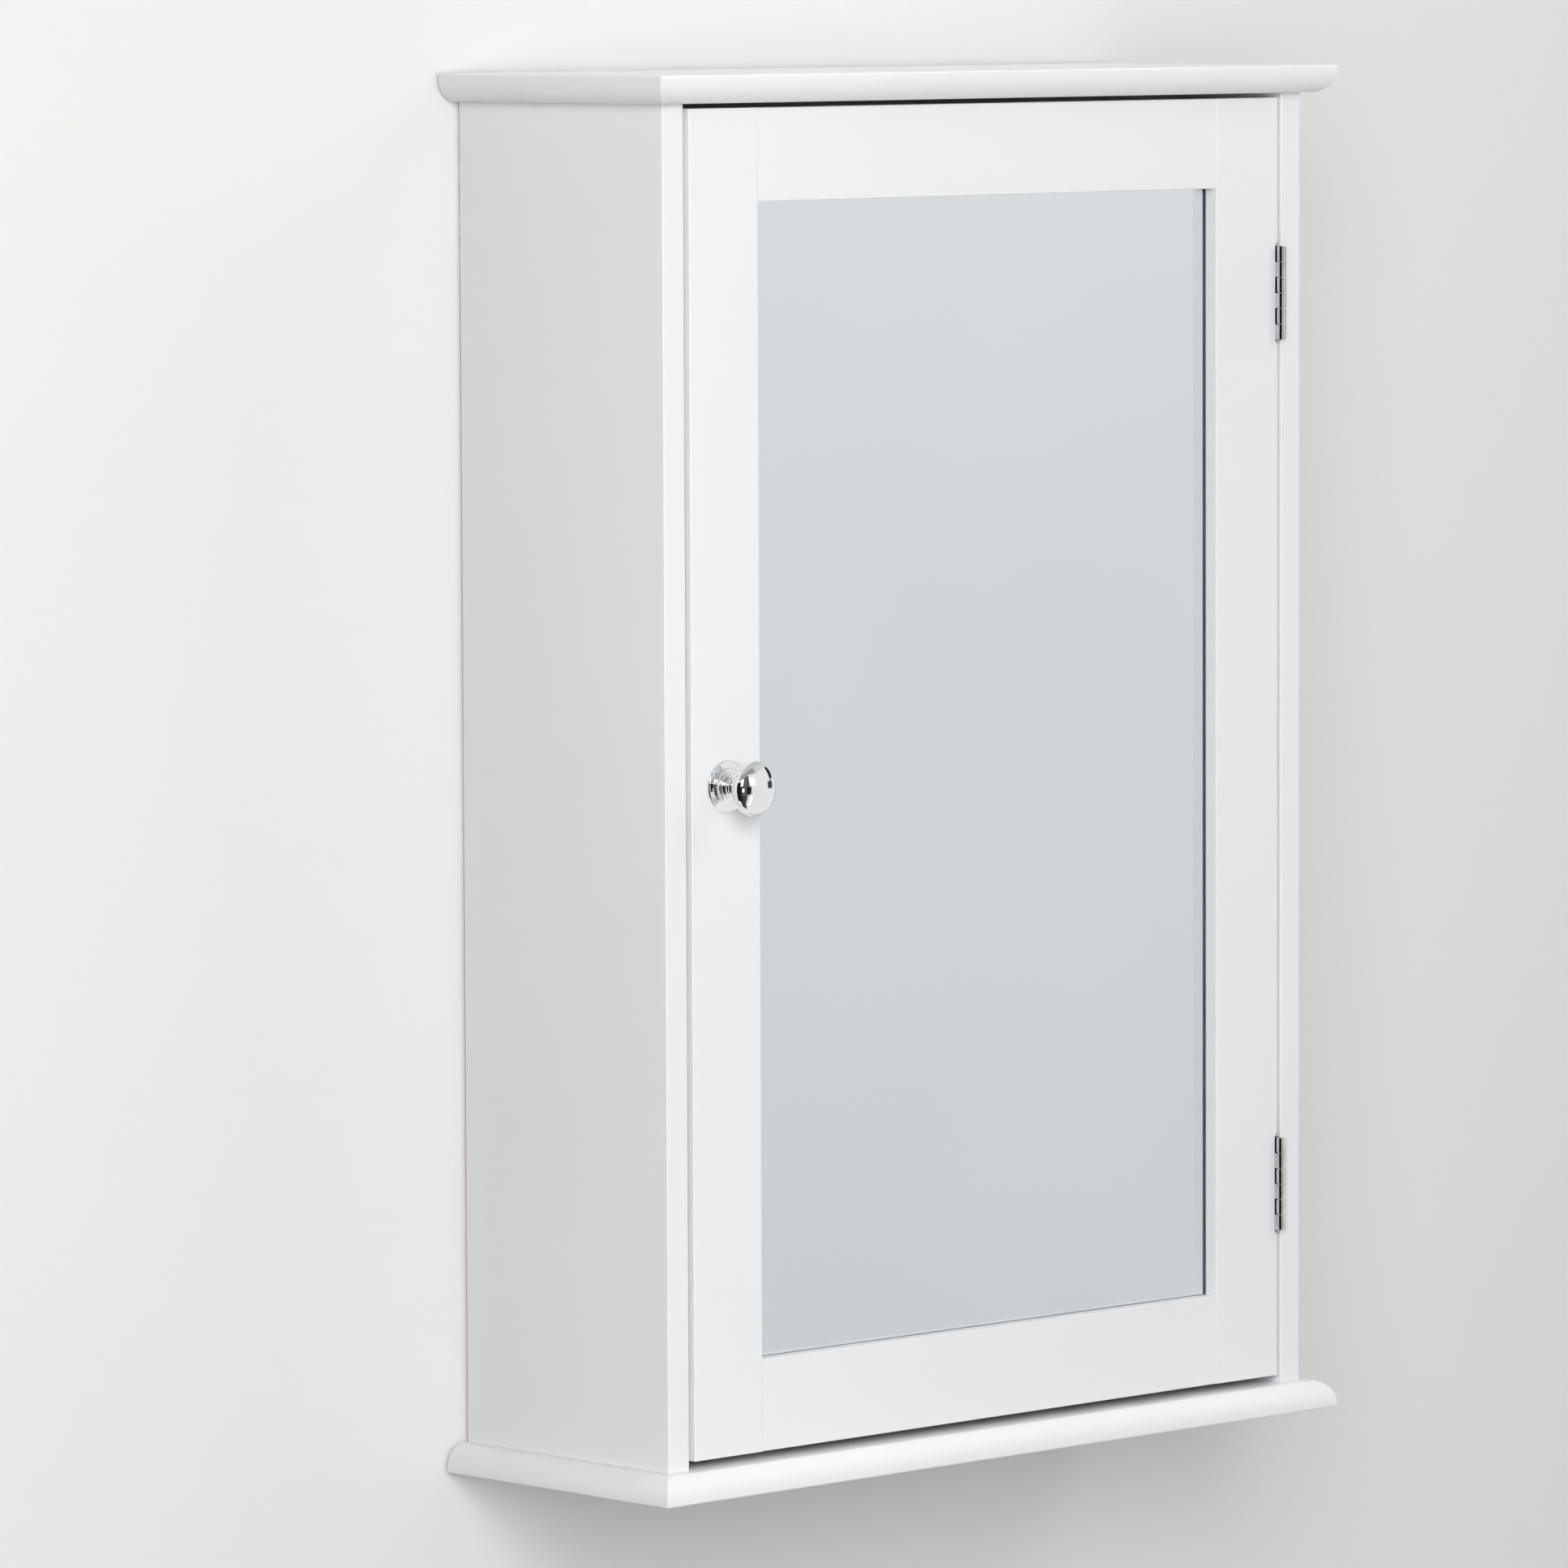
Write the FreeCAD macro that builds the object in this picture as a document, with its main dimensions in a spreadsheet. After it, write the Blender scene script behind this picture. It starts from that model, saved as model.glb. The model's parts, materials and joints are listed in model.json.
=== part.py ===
import FreeCAD, Part
import math
import os
import types

import Sketcher

# A wall-hung bathroom cabinet with one framed mirror door on butt hinges. Sizes are in millimetres.
# X runs to the right as seen from the front, Y into the wall and Z up. The origin lies on the wall,
# midway between the two keyhole plates that the cabinet hangs from.
SIZES = {
    # the cabinet over its moulded boards, from the wall to the front edge
    "cabinet_width": 410.0,
    "cabinet_height": 600.0,
    "cabinet_depth": 140.0,
    # boards, and the quarter-round moulding on three edges of the top and bottom ones
    "board_thickness": 12.0,
    "panel_thickness": 12.0,
    "board_overhang": 12.0,
    "moulding_inset": 7.3,
    "moulding_land": 2.0,
    "board_arris": 0.9,
    "panel_arris": 0.6,
    # back panel, and the grooves that it slides into
    "back_thickness": 3.0,
    "back_inset": 9.0,
    "groove_depth": 3.4,
    "groove_play": 0.2,
    # keyhole plates on the rear edges of the sides, which hold the cabinet clear of the wall
    "hanger_drop": 60.0,
    "hanger_plate_length": 46.0,
    "hanger_plate_margin": 0.5,
    "hanger_plate_thickness": 1.2,
    "hanger_plate_corner": 3.0,
    "hanger_entry_diameter": 7.5,
    "hanger_slot_width": 4.2,
    "hanger_slot_rise": 8.0,
    "hanger_recess_depth": 9.0,
    "hanger_recess_play": 0.5,
    "hanger_screw_inset": 5.0,
    "hanger_screw_length": 16.0,
    # small wood screws
    "wood_screw_diameter": 3.0,
    "screw_play": 0.1,
    # shelves on pins, set back behind the catch, with spare rows of holes above and below
    "shelf_thickness": 12.0,
    "shelf_setback": 1.5,
    "shelf_play": 0.3,
    "lower_shelf_height": 200.0,
    "upper_shelf_height": 392.0,
    "shelf_pin_diameter": 5.0,
    "shelf_pin_reach": 8.0,
    "shelf_pin_setback": 15.0,
    "shelf_pin_collar_diameter": 7.5,
    "shelf_pin_collar_thickness": 1.2,
    "shelf_pin_pitch": 32.0,
    "pin_play": 0.05,
    # cam fittings and dowels between the boards and the sides
    "cam_diameter": 12.0,
    "cam_wall": 1.8,
    "cam_setback": 24.0,
    "cam_inset": 25.0,
    "cam_slot_width": 1.6,
    "cam_slot_length": 8.0,
    "cam_slot_depth": 1.5,
    "cam_bolt_diameter": 5.0,
    "cam_bolt_shank": 4.0,
    "cam_bolt_head": 6.4,
    "cam_bolt_head_length": 3.0,
    "cam_bolt_grip": 8.0,
    "dowel_diameter": 6.0,
    "dowel_in_board": 8.0,
    "dowel_in_panel": 16.0,
    # door frame and the gaps round it
    "door_thickness": 15.0,
    "latch_gap": 3.2,
    "hinge_gap": 2.1,
    "door_top_gap": 2.2,
    "door_bottom_gap": 3.8,
    "stile_width": 39.5,
    "rail_width": 39.5,
    "door_arris": 0.5,
    "rail_dowel_reach": 15.0,
    "rail_dowel_inset": 10.0,
    "rail_dowel_setback": 7.5,
    # mirror, its backing and the beads, in a rebate behind the frame's lip
    "lip_thickness": 6.4,
    "rebate_width": 8.0,
    "glass_thickness": 2.0,
    "backing_thickness": 3.0,
    "pane_play": 0.5,
    # butt hinges, let into round-ended mortises in the door's edge
    "hinge_length": 41.4,
    "hinge_setback": 86.3,
    "barrel_diameter": 4.2,
    "barrel_sink": 0.2,
    "barrel_clearance": 0.3,
    "knuckle_gap": 0.3,
    "hinge_pin_diameter": 2.2,
    "leaf_thickness": 1.0,
    "leaf_width": 11.0,
    "mortise_depth": 1.9,
    "mortise_run": 3.2,
    "hinge_screw_inset": 9.7,
    "hinge_screw_length": 9.0,
    # turned knob on a stepped rose
    "rose_diameter": 22.3,
    "rose_flange_height": 1.3,
    "rose_ring_diameter": 16.0,
    "rose_ring_height": 1.0,
    "rose_top_diameter": 12.0,
    "rose_top_height": 0.9,
    "rose_rounding": 0.75,
    "knob_collar_diameter": 9.2,
    "knob_collar_height": 0.9,
    "knob_neck_diameter": 6.8,
    "knob_neck_length": 2.4,
    "knob_flare_diameter": 17.2,
    "knob_flare_length": 5.3,
    "knob_diameter": 23.2,
    "knob_swell_length": 4.0,
    "knob_shoulder_diameter": 19.4,
    "knob_shoulder_length": 3.3,
    "knob_dome_height": 2.6,
    "knob_screw_diameter": 4.0,
    "knob_screw_grip": 8.0,
    "pan_head_diameter": 8.0,
    "pan_head_height": 2.2,
    # magnetic catch on the latch side, and the plate on the door that it holds
    "catch_length": 46.0,
    "catch_body_length": 28.0,
    "catch_wall": 1.7,
    "catch_floor": 4.0,
    "catch_flange_thickness": 3.5,
    "catch_corner": 1.5,
    "catch_gap": 0.3,
    "catch_play": 0.1,
    "catch_screw_length": 8.0,
    "magnet_thickness": 5.0,
    "magnet_length": 20.0,
    "magnet_depth": 11.0,
    "pole_thickness": 1.2,
    "pole_reveal": 0.8,
    "strike_width": 10.0,
    "strike_length": 30.0,
    "strike_thickness": 1.0,
    "strike_inset": 1.3,
    "strike_screw_length": 9.0,
    "small_head_diameter": 5.6,
    "small_head_height": 1.6,
}
KNUCKLES = 6
SIDES = (-1, 1)

os.makedirs("parts", exist_ok=True)
doc = FreeCAD.newDocument("MirrorCabinet")
sheet = doc.addObject("Spreadsheet::Sheet", "Sizes")
for row, (alias, millimetres) in enumerate(SIZES.items(), start=1):
    sheet.set(f"A{row}", str(millimetres))
    sheet.setAlias(f"A{row}", alias)
doc.recompute()


class Size:
    """A length from the sheet, or one worked out from such lengths, with the expression that binds it."""

    def __init__(self, value, text):
        self.value = value
        self.text = text

    def __neg__(self):
        return Size(-self.value, f"-({self.text})")

    def __add__(self, other):
        other = as_size(other)
        return Size(self.value + other.value, f"({self.text} + {other.text})")

    def __sub__(self, other):
        other = as_size(other)
        return Size(self.value - other.value, f"({self.text} - ({other.text}))")

    def __mul__(self, other):
        other = as_size(other)
        return Size(self.value * other.value, f"({self.text}) * ({other.text})")

    def __truediv__(self, other):
        other = as_size(other)
        return Size(self.value / other.value, f"({self.text}) / ({other.text})")


def as_size(length):
    return length if isinstance(length, Size) else Size(length, str(length))


given = types.SimpleNamespace(
    **{alias: Size(value, f"Sizes.{alias}") for alias, value in SIZES.items()}
)
ZERO = as_size(0)

ALONG_X = FreeCAD.Rotation(FreeCAD.Vector(0, 1, 0), 90)
AGAINST_X = FreeCAD.Rotation(FreeCAD.Vector(0, 1, 0), -90)
AGAINST_Y = FreeCAD.Rotation(FreeCAD.Vector(1, 0, 0), 90)
UPRIGHT = FreeCAD.Rotation()
UPSIDE_DOWN = FreeCAD.Rotation(FreeCAD.Vector(0, 1, 0), 180)

# The way that a sketch on each origin plane faces along the third axis.
FACING = {"XY": 1, "XZ": -1, "YZ": 1}

nodes = []


def bind(feature, **lengths):
    for name, length in lengths.items():
        setattr(feature, name, length.value)
        feature.setExpression(name, length.text)


def place(piece, x, y, z, turn):
    spot = [as_size(length) for length in (x, y, z)]
    piece.Placement = FreeCAD.Placement(FreeCAD.Vector(*[length.value for length in spot]), turn)
    for axis, length in zip("xyz", spot):
        piece.setExpression(f"Placement.Base.{axis}", length.text)


def new_body(label, x, y, z, turn=UPRIGHT):
    body = doc.addObject("PartDesign::Body", label)
    body.Label = label
    place(body, x, y, z, turn)
    nodes.append(body)
    return body


def new_sketch(body, plane, level):
    """A sketch parallel to one of the body's origin planes, at this coordinate along the third axis."""
    sketch = body.newObject("Sketcher::SketchObject", "Sketch")
    support = next(item for item in body.Origin.OriginFeatures if item.Role == f"{plane}_Plane")
    sketch.AttachmentSupport = [(support, "")]
    sketch.MapMode = "FlatFace"
    offset = as_size(level) * FACING[plane]
    sketch.AttachmentOffset = FreeCAD.Placement(FreeCAD.Vector(0, 0, offset.value), UPRIGHT)
    sketch.setExpression("AttachmentOffset.Base.z", offset.text)
    return sketch


def constrain(sketch, kind, length, *geometry):
    """Adds a dimension to the sketch and binds it."""
    index = sketch.addConstraint(Sketcher.Constraint(kind, *geometry, length.value))
    name = f"{kind}_{index}"
    sketch.renameConstraint(index, name)
    sketch.setExpression(f"Constraints.{name}", length.text)


def arc_between(start, end, radius):
    """The shorter arc from start to end; it turns left where the radius is positive, and right otherwise."""
    chord = end - start
    to_left = FreeCAD.Vector(-chord.y, chord.x, 0).normalize()
    reach = math.sqrt(max(radius**2 - chord.Length**2 / 4, 0.0))
    centre = (start + end) * 0.5 + to_left * math.copysign(reach, radius)
    first, last = (start, end) if radius > 0 else (end, start)
    angles = [math.atan2(spot.y - centre.y, spot.x - centre.x) for spot in (first, last)]
    circle = Part.Circle(centre, FreeCAD.Vector(0, 0, 1), abs(radius))
    return Part.ArcOfCircle(circle, angles[0], angles[1])


def draw_outline(sketch, corners):
    """A closed outline. A corner's third value, if any, is the radius of the arc from it to the next."""
    base = sketch.GeometryCount
    count = len(corners)
    spots = []
    for corner in corners:
        x, y = (as_size(length) for length in corner[:2])
        spots.append((x, y, FreeCAD.Vector(x.value, y.value, 0)))
    ends = []
    for index, corner in enumerate(corners):
        start = spots[index][2]
        end = spots[(index + 1) % count][2]
        if len(corner) == 2:
            sketch.addGeometry(Part.LineSegment(start, end))
            ends.append((1, 2))
        else:
            sketch.addGeometry(arc_between(start, end, corner[2].value))
            ends.append((1, 2) if corner[2].value > 0 else (2, 1))
    for index, corner in enumerate(corners):
        following = (index + 1) % count
        joint = (base + index, ends[index][1], base + following, ends[following][0])
        sketch.addConstraint(Sketcher.Constraint("Coincident", *joint))
        x, y, _ = spots[index]
        constrain(sketch, "DistanceX", x, -1, 1, base + index, ends[index][0])
        constrain(sketch, "DistanceY", y, -1, 1, base + index, ends[index][0])
        if len(corner) == 3:
            radius = corner[2] if corner[2].value > 0 else -corner[2]
            constrain(sketch, "Radius", radius, base + index)


def draw_circles(sketch, centres, diameter):
    for x, y in centres:
        x, y = as_size(x), as_size(y)
        circle = Part.Circle(FreeCAD.Vector(x.value, y.value, 0), FreeCAD.Vector(0, 0, 1), diameter.value / 2)
        index = sketch.addGeometry(circle)
        constrain(sketch, "DistanceX", x, -1, 1, index, 3)
        constrain(sketch, "DistanceY", y, -1, 1, index, 3)
        constrain(sketch, "Diameter", diameter, index)


def extrude(body, kind, sketch, plane, start, end):
    travel = (as_size(end) - start) * FACING[plane]
    with_normal = travel.value > 0
    feature = body.newObject(f"PartDesign::{kind}", kind)
    feature.Profile = sketch
    bind(feature, Length=travel if with_normal else -travel)
    feature.Reversed = with_normal == (kind == "Pocket")


def add(body, plane, outlines, start, end):
    """Adds material inside the outlines, from one coordinate along the third axis to another."""
    sketch = new_sketch(body, plane, start)
    for corners in outlines:
        draw_outline(sketch, corners)
    extrude(body, "Pad", sketch, plane, start, end)


def cut(body, plane, outlines, start, end):
    sketch = new_sketch(body, plane, start)
    for corners in outlines:
        draw_outline(sketch, corners)
    extrude(body, "Pocket", sketch, plane, start, end)


def add_rods(body, plane, centres, diameter, start, end):
    sketch = new_sketch(body, plane, start)
    draw_circles(sketch, centres, diameter)
    extrude(body, "Pad", sketch, plane, start, end)


def drill(body, plane, centres, diameter, start, end):
    sketch = new_sketch(body, plane, start)
    draw_circles(sketch, centres, diameter)
    extrude(body, "Pocket", sketch, plane, start, end)


def spin(body, corners):
    """Turns an outline of (radius, level) corners round the body's Y axis."""
    sketch = new_sketch(body, "XY", ZERO)
    draw_outline(sketch, corners)
    feature = body.newObject("PartDesign::Revolution", "Revolution")
    feature.Profile = sketch
    feature.ReferenceAxis = (sketch, ["V_Axis"])
    feature.Angle = 360


def countersink(body, x, y, z, turn, wide, narrow, depth):
    cone = body.newObject("PartDesign::SubtractiveCone", "Countersink")
    bind(cone, Radius1=wide, Radius2=narrow, Height=depth)
    place(cone, x, y, z, turn)


def box_outline(x0, y0, x1, y1, radius=None, rounded=(0, 1, 2, 3)):
    """Corners of a rectangle, anticlockwise from its lower left, with an arc at each rounded one."""
    sharp = [(x0, y0), (x1, y0), (x1, y1), (x0, y1)]
    if radius is None:
        return sharp
    soft = [
        [(x0, y0 + radius, radius), (x0 + radius, y0)],
        [(x1 - radius, y0, radius), (x1, y0 + radius)],
        [(x1, y1 - radius, radius), (x1 - radius, y1)],
        [(x0 + radius, y1, radius), (x0, y1 - radius)],
    ]
    corners = []
    for index in range(4):
        corners += soft[index] if index in rounded else [sharp[index]]
    return corners


def bend(across, along):
    """Radius of an arc that sets off lengthwise and ends this far across and along."""
    return (across * across + along * along) / (across * 2)


def rod(radius, length, x, y, z, turn):
    cylinder = doc.addObject("Part::Cylinder", "Rod")
    bind(cylinder, Radius=radius, Height=length)
    place(cylinder, x, y, z, turn)
    return cylinder


def tapered_rod(wide, narrow, length, x, y, z, turn):
    cone = doc.addObject("Part::Cone", "Taper")
    bind(cone, Radius1=wide, Radius2=narrow, Height=length)
    place(cone, x, y, z, turn)
    return cone


def group(label, pieces):
    """One node of alike pieces, each still a solid of its own."""
    joined = doc.addObject("Part::MultiFuse", label)
    joined.Shapes = pieces
    joined.Label = label
    nodes.append(joined)


def sunk_screw(x, y, z, turn, head_height, length):
    """A countersunk screw that is flush at this point and driven along the turned Z axis."""
    radius = given.wood_screw_diameter / 2
    head = tapered_rod(radius + head_height, radius, head_height, x, y, z, turn)
    return [head, rod(radius, head_height + length, x, y, z, turn)]


def raised_screw(x, y, z, turn, head_diameter, head_height, diameter, length):
    """A screw whose flat-topped head stands on the face at this point, driven along the turned Z axis."""
    way = turn.multVec(FreeCAD.Vector(0, 0, 1))
    start = [as_size(c) - head_height * round(w) for c, w in zip((x, y, z), way)]
    return [
        rod(head_diameter / 2, head_height, *start, turn),
        rod(diameter / 2, head_height + length, *start, turn),
    ]


# Levels that several pieces share, measured from the wall and from the cabinet's underside.
half_width = given.cabinet_width / 2
inner_half = half_width - given.board_overhang - given.panel_thickness
outer_half = half_width - given.board_overhang
panel_middle = inner_half + given.panel_thickness / 2
front = given.board_overhang - given.cabinet_depth
rear = -given.hanger_plate_thickness
hanger_level = given.cabinet_height - given.hanger_drop
underside = -hanger_level
inner_bottom = given.board_thickness
inner_top = given.cabinet_height - given.board_thickness
back_rear = rear - given.back_inset
back_front = back_rear - given.back_thickness
cam_rows = (front + given.cam_inset, rear - given.cam_inset)
dowel_row = (front + rear) / 2
cam_levels = (inner_bottom + given.cam_setback, inner_top - given.cam_setback)
cam_bore = given.cam_bolt_head + given.screw_play * 2
cam_end = outer_half - given.cam_wall
dowel_bore = given.dowel_diameter + given.pin_play * 2
screw_bore = given.wood_screw_diameter + given.screw_play * 2
wood_screw_radius = given.wood_screw_diameter / 2

door_left = given.latch_gap - inner_half
door_right = inner_half - given.hinge_gap
door_bottom = inner_bottom + given.door_bottom_gap
door_top = inner_top - given.door_top_gap
door_rear = front + given.door_thickness
door_middle = (door_bottom + door_top) / 2
opening_left = door_left + given.stile_width
opening_right = door_right - given.stile_width
opening_bottom = door_bottom + given.rail_width
opening_top = door_top - given.rail_width
glass_front = front + given.lip_thickness
glass_rear = glass_front + given.glass_thickness
backing_rear = glass_rear + given.backing_thickness
rail_dowel_depth = (front + door_rear) / 2
rail_dowel_insets = (
    given.rail_dowel_inset,
    given.rail_width - given.rebate_width - given.rail_dowel_setback,
)
top_dowel_levels = [door_top - inset for inset in rail_dowel_insets]
bottom_dowel_levels = [door_bottom + inset for inset in rail_dowel_insets]

hinge_half_space = (given.hinge_gap + given.mortise_depth) / 2
hinge_axis_x = inner_half - hinge_half_space
hinge_axis_y = front - given.barrel_diameter / 2 + given.barrel_sink
hinge_levels = {"upper": door_top - given.hinge_setback, "lower": door_bottom + given.hinge_setback}
leaf_rear = hinge_axis_y + given.leaf_width
hinge_screw_row = (given.barrel_diameter / 2 + given.barrel_clearance + given.leaf_width) / 2
hinge_screw_steps = [(given.hinge_length / 2 - given.hinge_screw_inset) * side for side in SIDES]

knob_x = (door_left + opening_left) / 2
strike_x = door_left + given.strike_inset + given.strike_width / 2
catch_face = -inner_half
pole_tip = door_rear + given.strike_thickness + given.catch_gap
catch_front = pole_tip + given.pole_reveal
magnet_rear = catch_front + given.magnet_depth
catch_rear = magnet_rear + given.catch_floor
catch_screw_levels = [
    door_middle + (given.catch_body_length + given.catch_length) * side / 4 for side in SIDES
]

shelf_rear = back_front - given.shelf_play
shelf_front = catch_rear + given.shelf_setback
shelf_columns = (shelf_front + given.shelf_pin_setback, shelf_rear - given.shelf_pin_setback)
shelf_heights = (given.lower_shelf_height, given.upper_shelf_height)
pin_drop = given.shelf_pin_diameter / 2 + given.pin_play
hanger_screw_steps = [
    (given.hanger_plate_length / 2 - given.hanger_screw_inset) * side for side in SIDES
]


# Top and bottom boards. A quarter-round runs along both ends and the front, and meets itself in
# crisp mitres. The bottom board is the same board turned over.
def moulded_board(label, z, turn):
    board = new_body(label, ZERO, ZERO, z, turn)
    drop = given.board_thickness - given.moulding_land
    round_radius = bend(given.moulding_inset, drop)
    inset, soft, thick = given.moulding_inset, given.board_arris, given.board_thickness
    section = [
        (inset - half_width, ZERO),
        (half_width - inset, ZERO, round_radius),
        (half_width, drop),
        (half_width, thick - soft, soft),
        (half_width - soft, thick),
        (soft - half_width, thick, soft),
        (-half_width, thick - soft),
        (-half_width, drop, round_radius),
    ]
    add(board, "XZ", [section], -given.cabinet_depth, rear)
    edge = -given.cabinet_depth
    waste = [
        (edge + inset, ZERO, -round_radius),
        (edge, drop),
        (edge, thick - soft, -soft),
        (edge + soft, thick),
        (edge + soft, thick + soft),
        (edge - soft, thick + soft),
        (edge - soft, -soft),
        (edge + inset, -soft),
    ]
    cut(board, "YZ", [waste], -half_width, half_width)
    groove_half = inner_half + given.groove_depth
    play = given.groove_play
    groove = box_outline(-groove_half, back_front - play, groove_half, back_rear + play)
    cut(board, "XY", [groove], ZERO, given.groove_depth)
    bolts = [(panel_middle * side, row) for side in SIDES for row in cam_rows]
    drill(board, "XY", bolts, given.cam_bolt_diameter + given.screw_play * 2, ZERO, given.cam_bolt_grip)
    dowels = [(panel_middle * side, dowel_row) for side in SIDES]
    drill(board, "XY", dowels, dowel_bore, ZERO, given.dowel_in_board)


moulded_board("top_board", underside + inner_top, UPRIGHT)
moulded_board("bottom_board", underside + inner_bottom, UPSIDE_DOWN)


# Sides. Each is bored for its fittings and shelf pins, grooved for the back and recessed behind its
# hanger plate for the head of the wall screw.
def side_panel(label, side):
    panel = new_body(label, ZERO, ZERO, underside)
    near, far = sorted((inner_half * side, outer_half * side), key=lambda length: length.value)
    section = box_outline(near, front, far, rear, given.panel_arris, rounded=(0, 1))
    add(panel, "XY", [section], inner_bottom, inner_top)
    face, middle = inner_half * side, panel_middle * side
    play = given.groove_play
    groove = box_outline(back_front - play, inner_bottom, back_rear + play, inner_top)
    cut(panel, "YZ", [groove], face, (inner_half + given.groove_depth) * side)
    cams = [(row, level) for row in cam_rows for level in cam_levels]
    cam_hole = given.cam_diameter + given.screw_play * 2
    drill(panel, "YZ", cams, cam_hole, face, cam_end * side)
    bolts = [(middle, row) for row in cam_rows]
    drill(panel, "XY", bolts, cam_bore, inner_bottom, cam_levels[0])
    drill(panel, "XY", bolts, cam_bore, inner_top, cam_levels[1])
    drill(panel, "XY", [(middle, dowel_row)], dowel_bore, inner_bottom, inner_bottom + given.dowel_in_panel)
    drill(panel, "XY", [(middle, dowel_row)], dowel_bore, inner_top, inner_top - given.dowel_in_panel)
    pins = [
        (column, height - pin_drop + given.shelf_pin_pitch * step)
        for column in shelf_columns
        for height in shelf_heights
        for step in (-1, 0, 1)
    ]
    pin_hole = given.shelf_pin_diameter + given.pin_play * 2
    drill(panel, "YZ", pins, pin_hole, face, (inner_half + given.shelf_pin_reach) * side)
    reach = given.hanger_entry_diameter / 2 + given.hanger_recess_play
    recess_top = hanger_level + given.hanger_slot_rise + reach
    recess = box_outline(middle - reach, hanger_level - reach, middle + reach, recess_top)
    cut(panel, "XZ", [recess], rear, rear - given.hanger_recess_depth)
    screws = [(middle, hanger_level + step) for step in hanger_screw_steps]
    drill(panel, "XZ", screws, screw_bore, rear, rear - given.hanger_screw_length)
    return panel


left_panel = side_panel("left_side_panel", -1)
catch_holes = [((catch_front + catch_rear) / 2, level) for level in catch_screw_levels]
drill(left_panel, "YZ", catch_holes, screw_bore, catch_face, catch_face - given.catch_screw_length)

right_panel = side_panel("right_side_panel", 1)
hinge_holes = [
    (hinge_axis_y + hinge_screw_row, level + step)
    for level in hinge_levels.values()
    for step in hinge_screw_steps
]
drill(right_panel, "YZ", hinge_holes, screw_bore, inner_half, inner_half + given.hinge_screw_length)

# Back panel, a thin board held in grooves on all four sides.
back_panel = new_body("back_panel", ZERO, ZERO, underside)
back_reach = given.groove_depth - given.groove_play
back_half = inner_half + back_reach
back_outline = box_outline(-back_half, inner_bottom - back_reach, back_half, inner_top + back_reach)
add(back_panel, "XZ", [back_outline], back_rear, back_front)

# Shelves, and the collared steel pins that they lie on.
shelf_half = inner_half - given.shelf_pin_collar_thickness - given.shelf_play
for shelf_name, shelf_height in zip(("lower_shelf", "upper_shelf"), shelf_heights):
    shelf = new_body(shelf_name, ZERO, ZERO, underside + shelf_height)
    shelf_section = box_outline(
        shelf_front, ZERO, shelf_rear, given.shelf_thickness, given.panel_arris, rounded=(0, 3)
    )
    add(shelf, "YZ", [shelf_section], -shelf_half, shelf_half)

shelf_pins = new_body("shelf_pins", ZERO, ZERO, underside)
pin_spots = [(column, height - pin_drop) for column in shelf_columns for height in shelf_heights]
for side in SIDES:
    inside = (inner_half - given.shelf_pin_reach) * side
    buried = (inner_half + given.shelf_pin_reach) * side
    collar_face = (inner_half - given.shelf_pin_collar_thickness) * side
    add_rods(shelf_pins, "YZ", pin_spots, given.shelf_pin_diameter, inside, buried)
    add_rods(shelf_pins, "YZ", pin_spots, given.shelf_pin_collar_diameter, collar_face, inner_half * side)

# Cam fittings: a bolt stands in each board, and a cross-slotted nut in the side grips its head.
cam_nuts = new_body("cam_nuts", ZERO, ZERO, underside)
cam_spots = [(row, level) for row in cam_rows for level in cam_levels]
slot_half_width, slot_half_length = given.cam_slot_width / 2, given.cam_slot_length / 2
for side in SIDES:
    cam_face = inner_half * side
    add_rods(cam_nuts, "YZ", cam_spots, given.cam_diameter, cam_face, cam_end * side)
    slot_floor = (inner_half + given.cam_slot_depth) * side
    for across, up in ((slot_half_length, slot_half_width), (slot_half_width, slot_half_length)):
        slots = [box_outline(y - across, z - up, y + across, z + up) for y, z in cam_spots]
        cut(cam_nuts, "YZ", slots, cam_face, slot_floor)
cam_mouths = [(panel_middle * side, row) for side in SIDES for row in cam_rows]
cam_radius = given.cam_diameter / 2
head_past_axis = given.cam_bolt_head_length / 2 + given.screw_play
drill(cam_nuts, "XY", cam_mouths, cam_bore, cam_levels[0] - cam_radius, cam_levels[0] + head_past_axis)
drill(cam_nuts, "XY", cam_mouths, cam_bore, cam_levels[1] + cam_radius, cam_levels[1] - head_past_axis)

cam_bolts = new_body("cam_bolts", ZERO, ZERO, underside)
for face, level, way in ((inner_bottom, cam_levels[0], 1), (inner_top, cam_levels[1], -1)):
    head_half = given.cam_bolt_head_length * way / 2
    add_rods(cam_bolts, "XY", cam_mouths, given.cam_bolt_diameter, face - given.cam_bolt_grip * way, face)
    add_rods(cam_bolts, "XY", cam_mouths, given.cam_bolt_shank, face, level)
    add_rods(cam_bolts, "XY", cam_mouths, given.cam_bolt_head, level - head_half, level + head_half)

dowels = new_body("dowels", ZERO, ZERO, underside)
dowel_spots = [(panel_middle * side, dowel_row) for side in SIDES]
for face, way in ((inner_bottom, 1), (inner_top, -1)):
    dowel_start = face - given.dowel_in_board * way
    dowel_end = face + given.dowel_in_panel * way
    add_rods(dowels, "XY", dowel_spots, given.dowel_diameter, dowel_start, dowel_end)

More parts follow.
